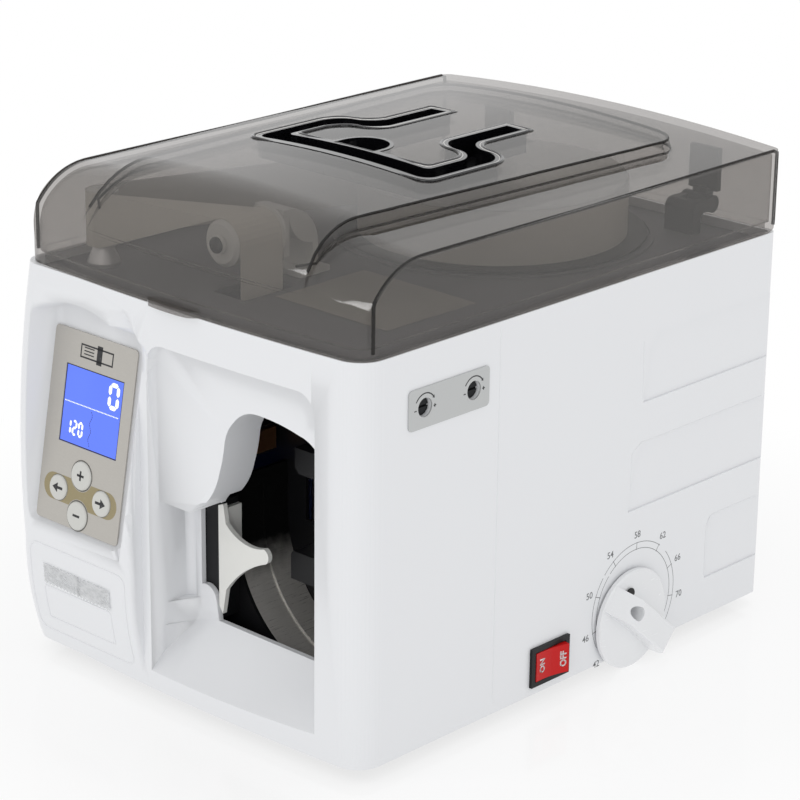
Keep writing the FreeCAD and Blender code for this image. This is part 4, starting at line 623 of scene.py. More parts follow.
# %% [markdown]
# ## Ink and film
# Printing is a thin layer of ink with soft gaps where it has rubbed off. Each colour of ink is
# one finish. The clear strip on the console is thin film. It could be made of glass, but light
# would then bend in it, so it is white plastic that is mostly see-through, with soft creases that
# show by their gloss.

# %% Ink
def ink(name, colour, worn):
    """Printing ink, paler where it is worn."""
    finish = Finish(name)
    rub = finish.noise(1.8, 4, rough=0.7)
    gaps = finish.ramp(rub, (0.3, WHITE), (0.42, BLACK))
    tone = finish.mix(gaps * worn, rgb(*colour), rgb(*(0.6 * c + 0.25 for c in colour)))
    shader = finish.surface(Base_Color=tone, Roughness=rub * 0.2 + 0.4)
    finish.done(shader)


INKS = {
    "black_ink": ((0.012, 0.012, 0.014), 0.25),
    "scale_ink": ((0.16, 0.165, 0.17), 0.7),
    "white_ink": ((0.86, 0.86, 0.86), 0.1),
    "khaki_ink": ((0.3, 0.25, 0.135), 0.15),
    "rim_ink": ((0.1, 0.095, 0.08), 0.2),
}
for name, (colour, worn) in INKS.items():
    ink(name, colour, worn)
print("inks:", list(INKS))


# %% Film
def clear_film(name):
    """Thin clear film with soft creases."""
    finish = Finish(name)
    creases = finish.noise(7, 2, stretch=(1, 1, 1.6), rough=0.5)
    folds = finish.ramp(creases, (0.4, BLACK), (0.62, WHITE))
    tone = finish.mix(folds, rgb(0.68, 0.69, 0.7), rgb(0.78, 0.79, 0.8))
    shader = finish.surface(
        Base_Color=tone,
        Alpha=folds * 0.2 + 0.32,
        Roughness=creases * 0.2 + 0.1,
        Normal=finish.bump(creases, 0.4),
    )
    finish.done(shader)


clear_film("strip_film")
print("finishes:", len(finishes))

# %% [markdown]
# ## Giving every CAD piece its finish
# The CAD pieces keep their own meshes. Each has one material slot, so a table from piece to
# finish is all they need. The record says which slot each piece has, and the table only departs
# from the slot's usual finish where the real piece does.

# %% Finishes by slot
SLOT_FINISH = {
    "body_white": "casing_white",
    "smoked_clear": "smoked_clear",
    "black_plastic": "satin_black",
    "black_gloss": "gloss_black",
    "foot_rubber": "foot_rubber",
    "deck_grey": "tray_grey",
    "plated_steel": "plated_steel",
    "painted_steel": "frame_paint",
    "label_silver": "label_silver",
    "display": "display_blue",
    "key_grey": "key_grey",
    "knob_white": "knob_white",
    "red_plastic": "signal_red",
    "roller_rubber": "roller_rubber",
    "white_plastic": "plain_white",
    "paper": "tape_paper",
    "board_green": "board_green",
    "copper_coil": "copper",
    "aluminium": "turned_aluminium",
}
NODE_FINISH = {
    "tension_screw_front": "chassis_paint",
    "tension_screw_rear": "chassis_paint",
    "reel_cover": "plain_white",
    "tape_roll": "roll_paper",
    "strap_track": "track_steel",
    "tension_plate": "hole_silver",
    "base_plate": "chassis_paint",
    "cutter_blade": "blade_steel",
    "transformer": "laminated_iron",
}
slot_of = {part["node"]: part["material_slot"] for part in frame["record"]["subparts"]}
for name, piece in frame["nodes"].items():
    finish = finishes[NODE_FINISH.get(name, SLOT_FINISH[slot_of[name]])]
    for slot in piece.material_slots:
        slot.material = finish
print("finished", len(frame["nodes"]), "pieces")

# %% [markdown]
# ## From drawings to printing
# Printing is a flat film of ink on the real machine. It could be an image on the surface, but an
# image blurs close up, so it is drawn as flat outlines in millimetres, filled, and made a thin
# mesh. A flat curve does the filling, holes included. Its mesh is then moved to its face, so that
# the finished piece sits at the origin with its place in its mesh.

# %% Plain meshes
INK = 0.03


def placed(name, data):
    """A new object in the scene, with its mesh or curve."""
    made = bpy.data.objects.new(name, data)
    bpy.context.scene.collection.objects.link(made)
    return made


def meshed(name, points, faces, edges=()):
    """A mesh from plain lists."""
    mesh = bpy.data.meshes.new(name)
    mesh.from_pydata([tuple(point) for point in points], edges, faces)
    mesh.update()
    return mesh


def as_mesh(obj, name):
    """The evaluated object as a plain mesh object; the first one goes away."""
    view = bpy.context.evaluated_depsgraph_get()
    mesh = bpy.data.meshes.new_from_object(obj.evaluated_get(view), depsgraph=view)
    bpy.data.objects.remove(obj)
    mesh.name = name
    return placed(name, mesh)


print("ink is", INK, "mm thick")


# %% Filled outlines and words
def filled(outlines):
    """Flat closed outlines, filled between each other, as a thin mesh at the drawing's origin."""
    curve = bpy.data.curves.new("outline", "CURVE")
    curve.dimensions = "2D"
    curve.fill_mode = "BOTH"
    curve.extrude = INK / 2
    for outline in outlines:
        spline = curve.splines.new("POLY")
        spline.points.add(len(outline) - 1)
        for point, (x, y) in zip(spline.points, outline):
            point.co = (x, y, 0, 1)
        spline.use_cyclic_u = True
    return as_mesh(placed("outline", curve), "outline")


def lettered(text, size, x, y, turn=0.0, weight=0.0):
    """Words centred on a point of the drawing."""
    curve = bpy.data.curves.new("letters", "FONT")
    curve.body = text
    curve.size = size
    curve.align_x = "CENTER"
    curve.align_y = "CENTER"
    curve.extrude = INK / 2
    curve.offset = weight
    curve.resolution_u = 4
    made = as_mesh(placed("letters", curve), "letters")
    made.data.transform(Matrix.Translation((x, y, 0)) @ Matrix.Rotation(turn, 4, "Z"))
    return made


print("outlines and words fill as thin meshes")


# %% Joining, dressing and printing
def joined(name, parts):
    """Several mesh objects as one, with one mesh."""
    points, faces = [], []
    for part in parts:
        first = len(points)
        points += [v.co.copy() for v in part.data.vertices]
        faces += [[first + i for i in face.vertices] for face in part.data.polygons]
        bpy.data.objects.remove(part)
    return placed(name, meshed(name, points, faces))


def dress(piece, finish, body):
    """Gives a piece its finish, and the body that it goes with."""
    piece.data.materials.clear()
    piece.data.materials.append(finishes[finish])
    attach(piece, body)
    return piece


def printed(name, parts, face, lift, finish, body):
    """Drawing parts joined and moved to their place on a face, on top of that many millimetres."""
    piece = joined(name, parts)
    piece.data.transform(face.matrix(lift + INK / 2))
    piece.data.update()
    return dress(piece, finish, body)


print("drawings can be joined and printed")


# %% Arcs, bands and bars
def round_the(x, y, radius, degrees):
    """The point at that angle on a circle."""
    angle = math.radians(degrees)
    return (x + radius * math.cos(angle), y + radius * math.sin(angle))


def arc(x, y, radius, start, end, steps):
    """Points round a centre, with the angles in degrees."""
    return [round_the(x, y, radius, start + (end - start) * i / steps) for i in range(steps + 1)]


def band(x, y, radius, width, start, end, steps):
    """A thin arc as a closed outline."""
    outer = arc(x, y, radius + width / 2, start, end, steps)
    return outer + arc(x, y, radius - width / 2, end, start, steps)


def bar(x, y, length, width, turn=0.0):
    """A straight stroke, centred on a point, as a closed outline."""
    cos, sin = math.cos(math.radians(turn)), math.sin(math.radians(turn))
    half, side = length / 2, width / 2
    corners = [(-half, -side), (half, -side), (half, side), (-half, side)]
    return [(x + a * cos - b * sin, y + a * sin + b * cos) for a, b in corners]


print("a bar's corners:", bar(0, 0, 2, 1))

# %% [markdown]
# ## Finding the surface of a CAD piece
# The rocker is hollow in the middle and the console bulges, so flat printing would sink in or
# stand off. A ray from every point of the drawing finds the CAD surface under it. The same rays
# find the paths of beads and the floor of a recess. A tree of boxes over the mesh makes each ray
# quick.

# %% Rays
def surface_of(name):
    """The surface of a CAD piece, ready for rays."""
    mesh = frame["nodes"][name].data
    faces = [p.vertices for p in mesh.polygons]
    return BVHTree.FromPolygons([v.co for v in mesh.vertices], faces)


def struck(tree, start, way):
    """Where a ray meets the surface, or None."""
    return tree.ray_cast(start, Vector(way))[0]


shell_tree = surface_of("front_shell")
print("the console's foot is at y =", round(struck(shell_tree, at(-75, -300, 30), (0, 1, 0)).y, 4))

# %% [markdown]
# ## Geometry Nodes with named inputs
# Dots in a row, beads along a path and screw heads at their places are shapes that follow a rule,
# so Geometry Nodes grow them. A tree has an input with a name for each size, and one tree then
# serves many pieces. Every tree ends by making its instances real and setting the finish, because
# the export drops instances. A modifier knows its inputs by their identifiers, so each value goes
# in by that, before the object is evaluated.

# %% Grower
SOCKETS = {
    "Geometry": "NodeSocketGeometry",
    "Finish": "NodeSocketMaterial",
    "Count": "NodeSocketInt",
    "Start": "NodeSocketVector",
    "End": "NodeSocketVector",
    "Radius": "NodeSocketFloat",
    "Height": "NodeSocketFloat",
    "Head": "NodeSocketObject",
}


class Grower:
    """A Geometry Nodes tree with named inputs, and the plain mesh that it grows."""

    def __init__(self, name, *inputs):
        self.tree = bpy.data.node_groups.new(name, "GeometryNodeTree")
        sockets = self.tree.interface
        for title in ("Geometry", "Finish", *inputs):
            sockets.new_socket(title, in_out="INPUT", socket_type=SOCKETS[title])
        sockets.new_socket("Geometry", in_out="OUTPUT", socket_type=SOCKETS["Geometry"])
        self.inputs = self.tree.nodes.new("NodeGroupInput").outputs

    def node(self, kind, out, values, **settings):
        """Adds a node and gives one of its outputs."""
        node = self.tree.nodes.new(kind)
        for name, value in settings.items():
            setattr(node, name, value)
        for key, value in values.items():
            if isinstance(value, bpy.types.NodeSocket):
                self.tree.links.new(value, node.inputs[key])
            else:
                node.inputs[key].default_value = value
        return node.outputs[out]

    def finish(self, shape):
        """Makes instances real, sets the finish and closes the tree."""
        solid = self.node("GeometryNodeRealizeInstances", "Geometry", {"Geometry": shape})
        values = {"Geometry": solid, "Material": self.inputs["Finish"]}
        coloured = self.node("GeometryNodeSetMaterial", "Geometry", values)
        self.tree.links.new(coloured, self.tree.nodes.new("NodeGroupOutput").inputs[0])

    def grow(self, name, mesh, finish, **values):
        """The plain mesh object that the tree makes from a mesh."""
        values["Finish"] = finishes[finish]
        seed = placed(name, mesh)
        step = seed.modifiers.new("grow", "NODES")
        step.node_group = self.tree
        for item in self.tree.interface.items_tree:
            if item.in_out == "INPUT" and item.name in values:
                step[item.identifier] = values[item.name]
        return as_mesh(seed, name)


print("inputs that a tree can have:", list(SOCKETS))


# %% Beads along a path
BEAD_SIDES = 8


def bead_tree():
    """A round bead along the edges of a mesh, with its ends closed."""
    grower = Grower("bead", "Radius")
    line = grower.node("GeometryNodeMeshToCurve", "Curve", {"Mesh": grower.inputs["Geometry"]})
    size = {"Resolution": BEAD_SIDES, "Radius": grower.inputs["Radius"]}
    ring = grower.node("GeometryNodeCurvePrimitiveCircle", "Curve", size)
    sweep = {"Curve": line, "Profile Curve": ring, "Fill Caps": True}
    tube = grower.node("GeometryNodeCurveToMesh", "Mesh", sweep)
    grower.finish(grower.node("GeometryNodeSetShadeSmooth", "Geometry", {"Geometry": tube}))
    return grower


beads = bead_tree()


def bead(name, path, radius, finish, body, slot, closed=True):
    """A dressed bead along points in metres, closed or with two ends."""
    count = len(path)
    edges = [(i, (i + 1) % count) for i in range(count if closed else count - 1)]
    swept = beads.grow(name, meshed(name, path, [], edges), finish, Radius=radius * MM)
    return dress(swept, finish, body)


print("a bead has", BEAD_SIDES, "sides")

# %% [markdown]
# ## The console's open side
# The label lies in a pocket with three steep walls. The fourth, beside the note throat, is a
# shallow slope, so that the display can be read from that side. The CAD shell has a steep wall
# there as well, so the finished shell is a merged copy of it with the slope cut in. The shell is
# hollow behind the wall, so fillers go in first. Then a cutter, lofted from sections across the
# label, takes the wall away down to the slope, and fades out towards the top of the console.

# %% Loft and Boolean
def lofted(name, sections, face):
    """A closed mesh through sections of equal length, each a list of (across, up, out)."""
    count = len(sections[0])
    points = [face.spot(*point) for section in sections for point in section]
    faces = [list(range(count))[::-1], [len(points) - count + i for i in range(count)]]
    for j in range(len(sections) - 1):
        low, high = j * count, (j + 1) * count
        for i in range(count):
            k = (i + 1) % count
            faces.append([low + i, low + k, high + k, high + i])
    mesh = meshed(name, points, faces)
    work = bmesh.new()
    work.from_mesh(mesh)
    bmesh.ops.recalc_face_normals(work, faces=work.faces)
    work.to_mesh(mesh)
    work.free()
    return placed(name, mesh)


def merged_copy(node, name):
    """A copy of a CAD piece whose loose triangles are joined at their corners."""
    mesh = bpy.data.meshes.new(name)
    work = bmesh.new()
    work.from_mesh(frame["nodes"][node].data)
    bmesh.ops.remove_doubles(work, verts=work.verts, dist=1e-6)
    work.to_mesh(mesh)
    work.free()
    return placed(name, mesh)


def shaped(base, operation, tool):
    """The base with a tool added or taken away; the tool goes."""
    step = base.modifiers.new(operation, "BOOLEAN")
    step.operation = operation
    step.solver = "EXACT"
    step.object = tool
    made = as_mesh(base, base.name)
    bpy.data.objects.remove(tool)
    return made


print("lofts and Booleans ready")

# %% The slope's form
SLOPE = ((35.0, 0.05), (45.5, 9.0), (56, 12.5))
SLOPE_RISE = ((-60, 0), (20, 0), (46, 0), (54, 1), (60, 3.5), (66, 8), (72, 13), (80, 20))
CUT_STATIONS = (35, 40, 45.5, 49, 56)
CUT_RIGHT = 56
CUT_LEFT = -5
CUT_OUT = 65
CUT_LEFT_OUT = 40


def between(stops, place):
    """The value at a place on a line through stops; the first and last stretch go on."""
    (x0, y0), (x1, y1) = next(
        (pair for pair in zip(stops, stops[1:]) if place <= pair[1][0]), stops[-2:]
    )
    return y0 + (y1 - y0) * (place - x0) / (x1 - x0)


def slope_out(across):
    """How far the slope stands off the label's plane, with a steep wall left of its start."""
    start, low = SLOPE[0]
    return low + start - across if across < start else between(SLOPE, across)


def front_out(across, up):
    """How far the shell's front stands off the label's plane."""
    hit = struck(shell_tree, label_face.spot(across, up, 60), -label_face.out)
    return (hit - label_face.middle).dot(label_face.out) / MM


print("the slope's outer edge stands off by", round(front_out(44, 0), 1), "mm")

# %% Fillers and cutter
TOP_COVER, TOP_SKIN = 2, 1.4
FLOOR_DEPTH, FLOOR_SKIN = 2.3, 0.5
BESIDE_STATIONS = (37.6, 39.5, 41.5, 44.4)
ABOVE_STATIONS = (28, 31.5, 35, 39, 44.2)
ABOVE_START = (34.5, 36.5, 38.5, 41, 44.2)
ABOVE_SPARE = 0.15


def fill_section(up, stations, spare=0):
    """A layer under the slope that stays behind the shell's outer face."""
    tops, floors = [], []
    for across in stations:
        slope, front = slope_out(across) + between(SLOPE_RISE, up), front_out(across, up)
        tops.append((across, up, min(slope + TOP_COVER, front - TOP_SKIN) - spare))
        floors.append((across, up, min(slope, front - FLOOR_SKIN) - FLOOR_DEPTH - spare))
    return tops + floors[::-1]


cutter = []
for up, rise in SLOPE_RISE:
    slope = [(across, up, slope_out(across) + rise) for across in CUT_STATIONS]
    walls = [(CUT_RIGHT, up, CUT_OUT), (CUT_LEFT, up, CUT_OUT), (CUT_LEFT, up, rise + CUT_LEFT_OUT)]
    cutter.append(slope + walls)
beside = [fill_section(up, BESIDE_STATIONS) for up in range(-50, 65, 6)]
above = [fill_section(63, ABOVE_START, ABOVE_SPARE)]
above += [fill_section(up, ABOVE_STATIONS, ABOVE_SPARE) for up in range(66, 79, 3)]
print("sections:", len(beside), "beside,", len(above), "above,", len(cutter), "in the cutter")

# %% The finished shell
CREASE = math.radians(24)
shell = merged_copy("front_shell", "open_shell")
shell = shaped(shell, "UNION", lofted("slope_filler", beside, label_face))
shell = shaped(shell, "UNION", lofted("brow_filler", above, label_face))
shell = shaped(shell, "DIFFERENCE", lofted("slope_cutter", cutter, label_face))
shell.data.shade_smooth()
shell.data.set_sharp_from_angle(angle=CREASE)
dress(shell, "casing_white", "chassis")
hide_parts("front_shell")
print("open shell:", len(shell.data.polygons), "faces")

# %% [markdown]
# ## The console's label
# The label has a place for a title, which gets a plain pictogram of a strapped bundle, and a
# khaki band that joins the four keys. The band is a long pill with a round bite for the plus key
# and one for the minus key. Every key has a thin printed rim.

# %% Label printing
LABEL_FRONT = 0.8
KEY_HIGH = 1.8
KEY_RADIUS = 7.8
SIDE_KEY_RADIUS = 6.9
KEYS = {
    "key_plus": (0, -22.9),
    "key_minus": (0, -45),
    "key_back": (-17, -33.6),
    "key_feed": (17.6, -33.6),
}


def bitten_band(middle_x, y, half_length, radius, bite, bite_ys):
    """A pill with a round bite out of its upper and its lower edge, at x = 0."""
    high, low = bite_ys
    left, right = middle_x - half_length, middle_x + half_length
    upper = math.degrees(math.acos((high - y - radius) / bite))
    lower = math.degrees(math.acos((y - radius - low) / bite))
    return (
        arc(right, y, radius, -90, 90, 16)
        + arc(0, high, bite, -90 + upper, -90 - upper, 20)
        + arc(left, y, radius, 90, 270, 16)
        + arc(0, low, bite, 90 + lower, 90 - lower, 20)
    )


def on_label(name, parts, finish, lift=0.0):
    """Printing on the label."""
    printed(name, parts, label_face, LABEL_FRONT + lift, finish, "chassis")


key_ys = (KEYS["key_plus"][1], KEYS["key_minus"][1])
key_band = bitten_band(0.3, -33.6, 21.9, 7.3, KEY_RADIUS + 1.0, key_ys)
side_keys = (KEYS["key_back"], KEYS["key_feed"])
key_gaps = [arc(*place, SIDE_KEY_RADIUS + 0.4, 0, 354, 59) for place in side_keys]
on_label("label_band", [filled([key_band] + key_gaps)], "khaki_ink")
ring_keys = (KEYS["key_plus"], KEYS["key_minus"])
rims = [filled([band(*place, KEY_RADIUS + 0.45, 0.4, 0, 360, 60)]) for place in ring_keys]
on_label("label_rims", rims, "rim_ink", INK / 2)


def bundle_sign(x, y, width, height, line):
    """A bundle of notes with a strap round it."""
    edge = [bar(x, y, width, height), bar(x, y, width - 2 * line, height - 2 * line)]
    strap = [bar(x + width * 0.08, y, width * 0.16, height + 3 * line)]
    rises = (-0.18, 0.05, 0.28)
    notes = [bar(x - width * 0.24, y + height * k, width * 0.3, line * 0.7) for k in rises]
    return [filled(edge), filled(strap)] + [filled([note]) for note in notes]


on_label("label_title", bundle_sign(1.5, 43.3, 26, 7.6, 0.9), "black_ink")
print("label printed, with", len(KEYS), "keys in its band")

# %% [markdown]
# ## Signs on the keys
# A plus and a minus on two keys, and an arrow each way on the keys that move the tape back and
# on. Each sign rides on its own key, so that it goes down with it.

# %% Key signs
SIGN_SIZE, SIGN_LINE = 5.4, 1.3
ARROW_SIZE, ARROW_LINE = 8, 1.5


def plus_sign(x, y, size, line):
    """Two crossed strokes."""
    return [filled([bar(x, y, size, line)]), filled([bar(x, y, line, size)])]


def arrow_sign(x, y, size, line, way):
    """A head and a tail; way is 1 to the right and -1 to the left."""
    head = [(x + way * size * 0.5, y), (x, y + size * 0.34), (x, y - size * 0.34)]
    return [filled([head]), filled([bar(x - way * size * 0.25, y, size * 0.5, line)])]


signs = {
    "key_plus": plus_sign(*KEYS["key_plus"], SIGN_SIZE, SIGN_LINE),
    "key_minus": [filled([bar(*KEYS["key_minus"], SIGN_SIZE, SIGN_LINE)])],
    "key_back": arrow_sign(*KEYS["key_back"], ARROW_SIZE, ARROW_LINE, -1),
    "key_feed": arrow_sign(*KEYS["key_feed"], ARROW_SIZE, ARROW_LINE, 1),
}
for key, sign in signs.items():
    printed(key + "_sign", sign, label_face, KEY_HIGH, "black_ink", key)
print("signs on", len(signs), "keys")

# %% [markdown]
# ## Figures on the display
# The display shows a count at the top and a temperature below. The figures are made of seven
# bars, each a long hexagon, so that one function draws any digit. A line of dots parts the two
# fields, and Geometry Nodes set the dots out along a line.

# %% Seven bars
LCD_X = 1.8
LCD_Y = 13
LCD_FRONT = 0.5
LCD_HALF = (22.9, 21.2)
SEGMENTS = {"0": "abcdef", "1": "bc", "2": "abged"}


def segment(x, y, length, width, upright):
    """One bar of a figure: a long hexagon."""
    half, side = length / 2 - width * 0.12, width / 2
    slant = half - side
    shape = [(-half, 0), (-slant, side), (slant, side), (half, 0), (slant, -side), (-slant, -side)]
    return [(x + b, y + a) if upright else (x + a, y + b) for a, b in shape]


def digit(figure, x, y, width, height, line):
    """The bars of one figure, from its middle."""
    across, tall = width - line, (height - line) / 2
    places = {
        "a": (0, tall, across, False), "g": (0, 0, across, False), "d": (0, -tall, across, False),
        "b": (across / 2, tall / 2, tall, True), "c": (across / 2, -tall / 2, tall, True),
        "f": (-across / 2, tall / 2, tall, True), "e": (-across / 2, -tall / 2, tall, True),
    }
    bars = [places[key] for key in SEGMENTS[figure]]
    return [filled([segment(x + dx, y + dy, length, line, up)]) for dx, dy, length, up in bars]


def on_display(name, parts, finish):
    """Figures and marks on the display's glass."""
    printed(name, parts, label_face, LCD_FRONT, finish, "chassis")


figures = digit("0", LCD_X + 15.8, LCD_Y + 11.6, 8.6, 14.6, 2.4)
for i, figure in enumerate("120"):
    figures += digit(figure, LCD_X - 16.6 + i * 4.7, LCD_Y - 12.1, 4.0, 8.6, 1.35)
on_display("display_count", figures, "display_figures")
print("display figures:", len(figures), "bars")


# %% Dots by Geometry Nodes
DOT_SIDES = 10
DOTS = 40
DOT_RADIUS = 0.34
DOTS_LEFT = (LCD_X - 21.3, LCD_Y + 1.2, 0)
DOTS_RIGHT = (LCD_X + 20.5, LCD_Y + 1.2, 0)


def dots_tree():
    """Small round dots in a row between two points."""
    grower = Grower("dots_along_line", "Count", "Start", "End", "Radius", "Height")
    given = grower.inputs
    ends = {"Count": given["Count"], "Start Location": given["Start"], "Offset": given["End"]}
    line = grower.node("GeometryNodeMeshLine", "Mesh", ends, mode="END_POINTS")
    size = {"Vertices": DOT_SIDES, "Radius": given["Radius"], "Depth": given["Height"]}
    dot = grower.node("GeometryNodeMeshCylinder", "Mesh", size)
    spread = {"Points": line, "Instance": dot}
    grower.finish(grower.node("GeometryNodeInstanceOnPoints", "Instances", spread))
    return grower


dots = dots_tree().grow(
    "dots", bpy.data.meshes.new("dots"), "display_figures",
    Count=DOTS, Start=DOTS_LEFT, End=DOTS_RIGHT, Radius=DOT_RADIUS, Height=INK,
)
on_display("display_dots", [dots], "display_figures")
print("dots in the line:", DOTS)


# %% Divider and rim
RIM_LINE = 1.1


def dashes(x, top, bottom, sway, count):
    """Short strokes down a line that sways, as the display's divider does."""
    step = (top - bottom) / count
    strokes = []
    for i in range(count):
        lean = 90 + 22 * math.cos(i * 0.9)
        place = (x + sway * math.sin(i * 0.9), top - (i + 0.5) * step)
        strokes.append(filled([bar(*place, step * 0.75, 0.35, lean)]))
    return strokes


marks = dashes(LCD_X + 0.2, LCD_Y - 0.2, LCD_Y - 19.5, 0.7, 16)
rim_width, rim_height = 2 * LCD_HALF[0], 2 * LCD_HALF[1]
rim = [
    bar(LCD_X, LCD_Y, rim_width, rim_height),
    bar(LCD_X, LCD_Y, rim_width - RIM_LINE, rim_height - RIM_LINE),
]
on_display("display_marks", marks + [filled(rim)], "black_ink")
print("strokes in the divider:", len(marks))

# %% [markdown]
# ## The dial's scale
# Two thin arcs round the dial with a stroke at each number. The numbers are the distance of the
# strap from the notes' edge, in millimetres, and the dial's turn sets them 36 degrees apart or
# so. The ink is thin and rubbed, since hands turn the dial over it. Numbers that would run under
# the casing's lower edge are left out.

# %% Scale
SCALE_Y = 48.3
SCALE_Z = 27.6
SCALE_OUTER = 35
SCALE_INNER = 31.3
SCALE_ARCS = (
    (SCALE_OUTER, -150, -220, 24),
    (SCALE_OUTER, 137, 52, 28),
    (SCALE_OUTER, 40, -40, 28),
    (SCALE_INNER, -150, -225, 24),
    (SCALE_INNER, 132, -35, 50),
)
SCALE_LINE = 0.32
NUMBERS = {42: -138, 46: -167, 50: 158, 54: 122, 58: 88, 62: 54, 66: 22, 70: -10, 74: -42}
NUMBER_SIZE = 5.4
STROKE = 4.6
LOWEST = -2


def scale_parts():
    """The arcs, the strokes and the numbers."""
    parts = []
    for radius, start, end, steps in SCALE_ARCS:
        parts.append(filled([band(SCALE_Y, SCALE_Z, radius, SCALE_LINE, start, end, steps)]))
    middle = (SCALE_OUTER + SCALE_INNER) / 2
    for number, angle in NUMBERS.items():
        stroke = bar(*round_the(SCALE_Y, SCALE_Z, middle, angle), STROKE, 0.35, angle)
        parts.append(filled([stroke]))
        far = SCALE_OUTER + STROKE + 1.4 * abs(math.cos(math.radians(angle)))
        x, y = round_the(SCALE_Y, SCALE_Z, far, angle)
        if y > LOWEST:
            parts.append(lettered(str(number), NUMBER_SIZE, x, y, weight=0.06))
    return parts


printed("dial_scale", scale_parts(), side_face, 0, "scale_ink", "chassis")
print("scale numbers:", list(NUMBERS))

# %% [markdown]
# ## The hole plate
# Each adjusting screw is turned through a hole. A curved arrow over the hole shows which way
# tightens, with a minus before it and a plus behind it. An arrow is a thin arc and a small head.

# %% Arrows, minus and plus
PLATE_Y = -104.6
PLATE_Z = 184.6
PLATE_FRONT = 0.8
HOLE_SPREAD = 17.8
ARROW_RADIUS = 7.4
MARK_DROP = 0.5


def turning_arrow(x, y, radius):
    """An arc with a head, round a hole."""
    tip = 38
    cos, sin = math.cos(math.radians(tip)), math.sin(math.radians(tip))
    head_x, head_y = round_the(x, y, radius, tip)
    head = [
        (head_x + 1.5 * sin, head_y - 1.5 * cos),
        (head_x + 0.95 * cos, head_y + 0.95 * sin),
        (head_x - 0.95 * cos, head_y - 0.95 * sin),
    ]
    return [filled([band(x, y, radius, 0.65, 150, tip, 20)]), filled([head])]


plate_parts = []
for side in (-1, 1):
    hole = PLATE_Y + side * HOLE_SPREAD
    plate_parts += turning_arrow(hole, PLATE_Z, ARROW_RADIUS)
    plate_parts += [filled([bar(hole - 6.9, PLATE_Z - MARK_DROP, 1.7, 0.55)])]
    plate_parts += plus_sign(hole + 7.0, PLATE_Z - MARK_DROP, 1.9, 0.6)
printed(
    "plate_arrows", plate_parts, side_face, PLATE_FRONT, "black_ink", "chassis"
)
print("arrows:", len(plate_parts), "shapes")

# %% [markdown]
# ## ON and OFF
# The rocker's words read upwards, so they are turned a quarter. The rocker's face is hollow, and
# flat words would sink in, so every point is dropped onto it. They ride on the rocker.

# %% Rocker words
ROCKER_Y = -22.2
ROCKER_Z = 16
WORD_SIZE = 5.2
WORD_LIFT = 0.05
WORDS = {"ON": ROCKER_Y - 7.0, "OFF": ROCKER_Y + 7.4}


def drop(piece, tree, direction, lift, reach=0.03):
    """Moves each point along a direction onto the surface, and a little back off it."""
    towards = Vector(direction)
    for vertex in piece.data.vertices:
        hit = struck(tree, vertex.co - towards * reach, towards)
        if hit is not None:
            vertex.co = hit - towards * lift * MM
    piece.data.update()
    return piece


quarter = math.pi / 2
words = [lettered(text, WORD_SIZE, y, ROCKER_Z, quarter, 0.2) for text, y in WORDS.items()]
rocker_words = joined("rocker_words", words)
rocker_words.data.transform(side_face.matrix(8))
drop(rocker_words, surface_of("power_rocker"), (-1, 0, 0), WORD_LIFT)
dress(rocker_words, "white_ink", "rocker")
print("words on the rocker:", list(WORDS))

# %% [markdown]
# ## The bright line round the handle
# A thin silver line follows the lip of the handle's groove, on the outside and the inside of the
# U, and a black bead runs along the lip's edge. The path is drawn once, with arcs between its
# corners, and then dropped onto the crowned trim. A line drawn as a flat band would be lost on
# the crown, so each is a real bead that stands half out of the surface.

# %% The groove's outline
TRIM_X = -2
TRIM_HALF = 67
TRIM_FRONT = -58
TRIM_BACK = 58
TRIM_WIDTH = 20
TRIM_NECK = 38
OUTER_CORNER = 8
INNER_CORNER = 4
NECK_ARC = 14
BEND = 16
BEND_LEAD = 4
BEND_STEP = 12


def groove_side(inset):
    """The right half of the groove's outline, from the front's middle round to the inner side."""
    side = TRIM_HALF - inset
    near = TRIM_HALF - TRIM_WIDTH + inset
    neck_out = TRIM_NECK - inset
    neck_in = TRIM_NECK - TRIM_WIDTH + inset
    front = TRIM_FRONT + inset
    behind = TRIM_FRONT + TRIM_WIDTH + 2 - inset
    back = TRIM_BACK - inset
    return [
        (side - OUTER_CORNER, front),
        (side, front + OUTER_CORNER, OUTER_CORNER),
        (side, -BEND_LEAD - inset / 3),
        ((side + neck_out) / 2, BEND / 2 - inset / 2 + 2, NECK_ARC),
        (neck_out, BEND - inset / 3 + BEND_LEAD, -NECK_ARC),
        (neck_out, back),
        (neck_in, back),
        (neck_in, BEND - BEND_STEP + inset / 3 + BEND_LEAD),
        ((near + neck_in) / 2, BEND / 2 - BEND_STEP + inset / 2, NECK_ARC),
        (near, -BEND_STEP - BEND_LEAD + inset / 3, -NECK_ARC),
        (near, behind + INNER_CORNER),
        (near - INNER_CORNER, behind, -INNER_CORNER),
    ]


print("the groove's outline has", len(groove_side(0)), "corners on each side")


# %% Lines and arcs as points
def traced(corners, step=3.0):
    """Points along lines and arcs; a corner's third value is the radius of the arc to it."""
    points = []
    for i, corner in enumerate(corners):
        start = Vector(corners[i - 1][:2]) if i else Vector(corner[:2])
        end = Vector(corner[:2])
        chord = end - start
        pieces = max(1, round(chord.length / step))
        if len(corner) == 2 or not i:
            points += [start.lerp(end, (k + 1) / pieces) for k in range(pieces)]
            continue
        radius = corner[2]
        depth = math.sqrt(max(radius * radius - chord.length_squared / 4, 0))
        left = Vector((-chord.y, chord.x)).normalized()
        centre = (start + end) / 2 + left * math.copysign(depth, radius)
        first, last = start - centre, end - centre
        swing = math.atan2(first.x * last.y - first.y * last.x, first.dot(last))
        low = math.atan2(first.y, first.x)
        for k in range(pieces * 2):
            angle = low + swing * (k + 1) / (pieces * 2)
            points.append(centre + Vector((math.cos(angle), math.sin(angle))) * abs(radius))
    return points


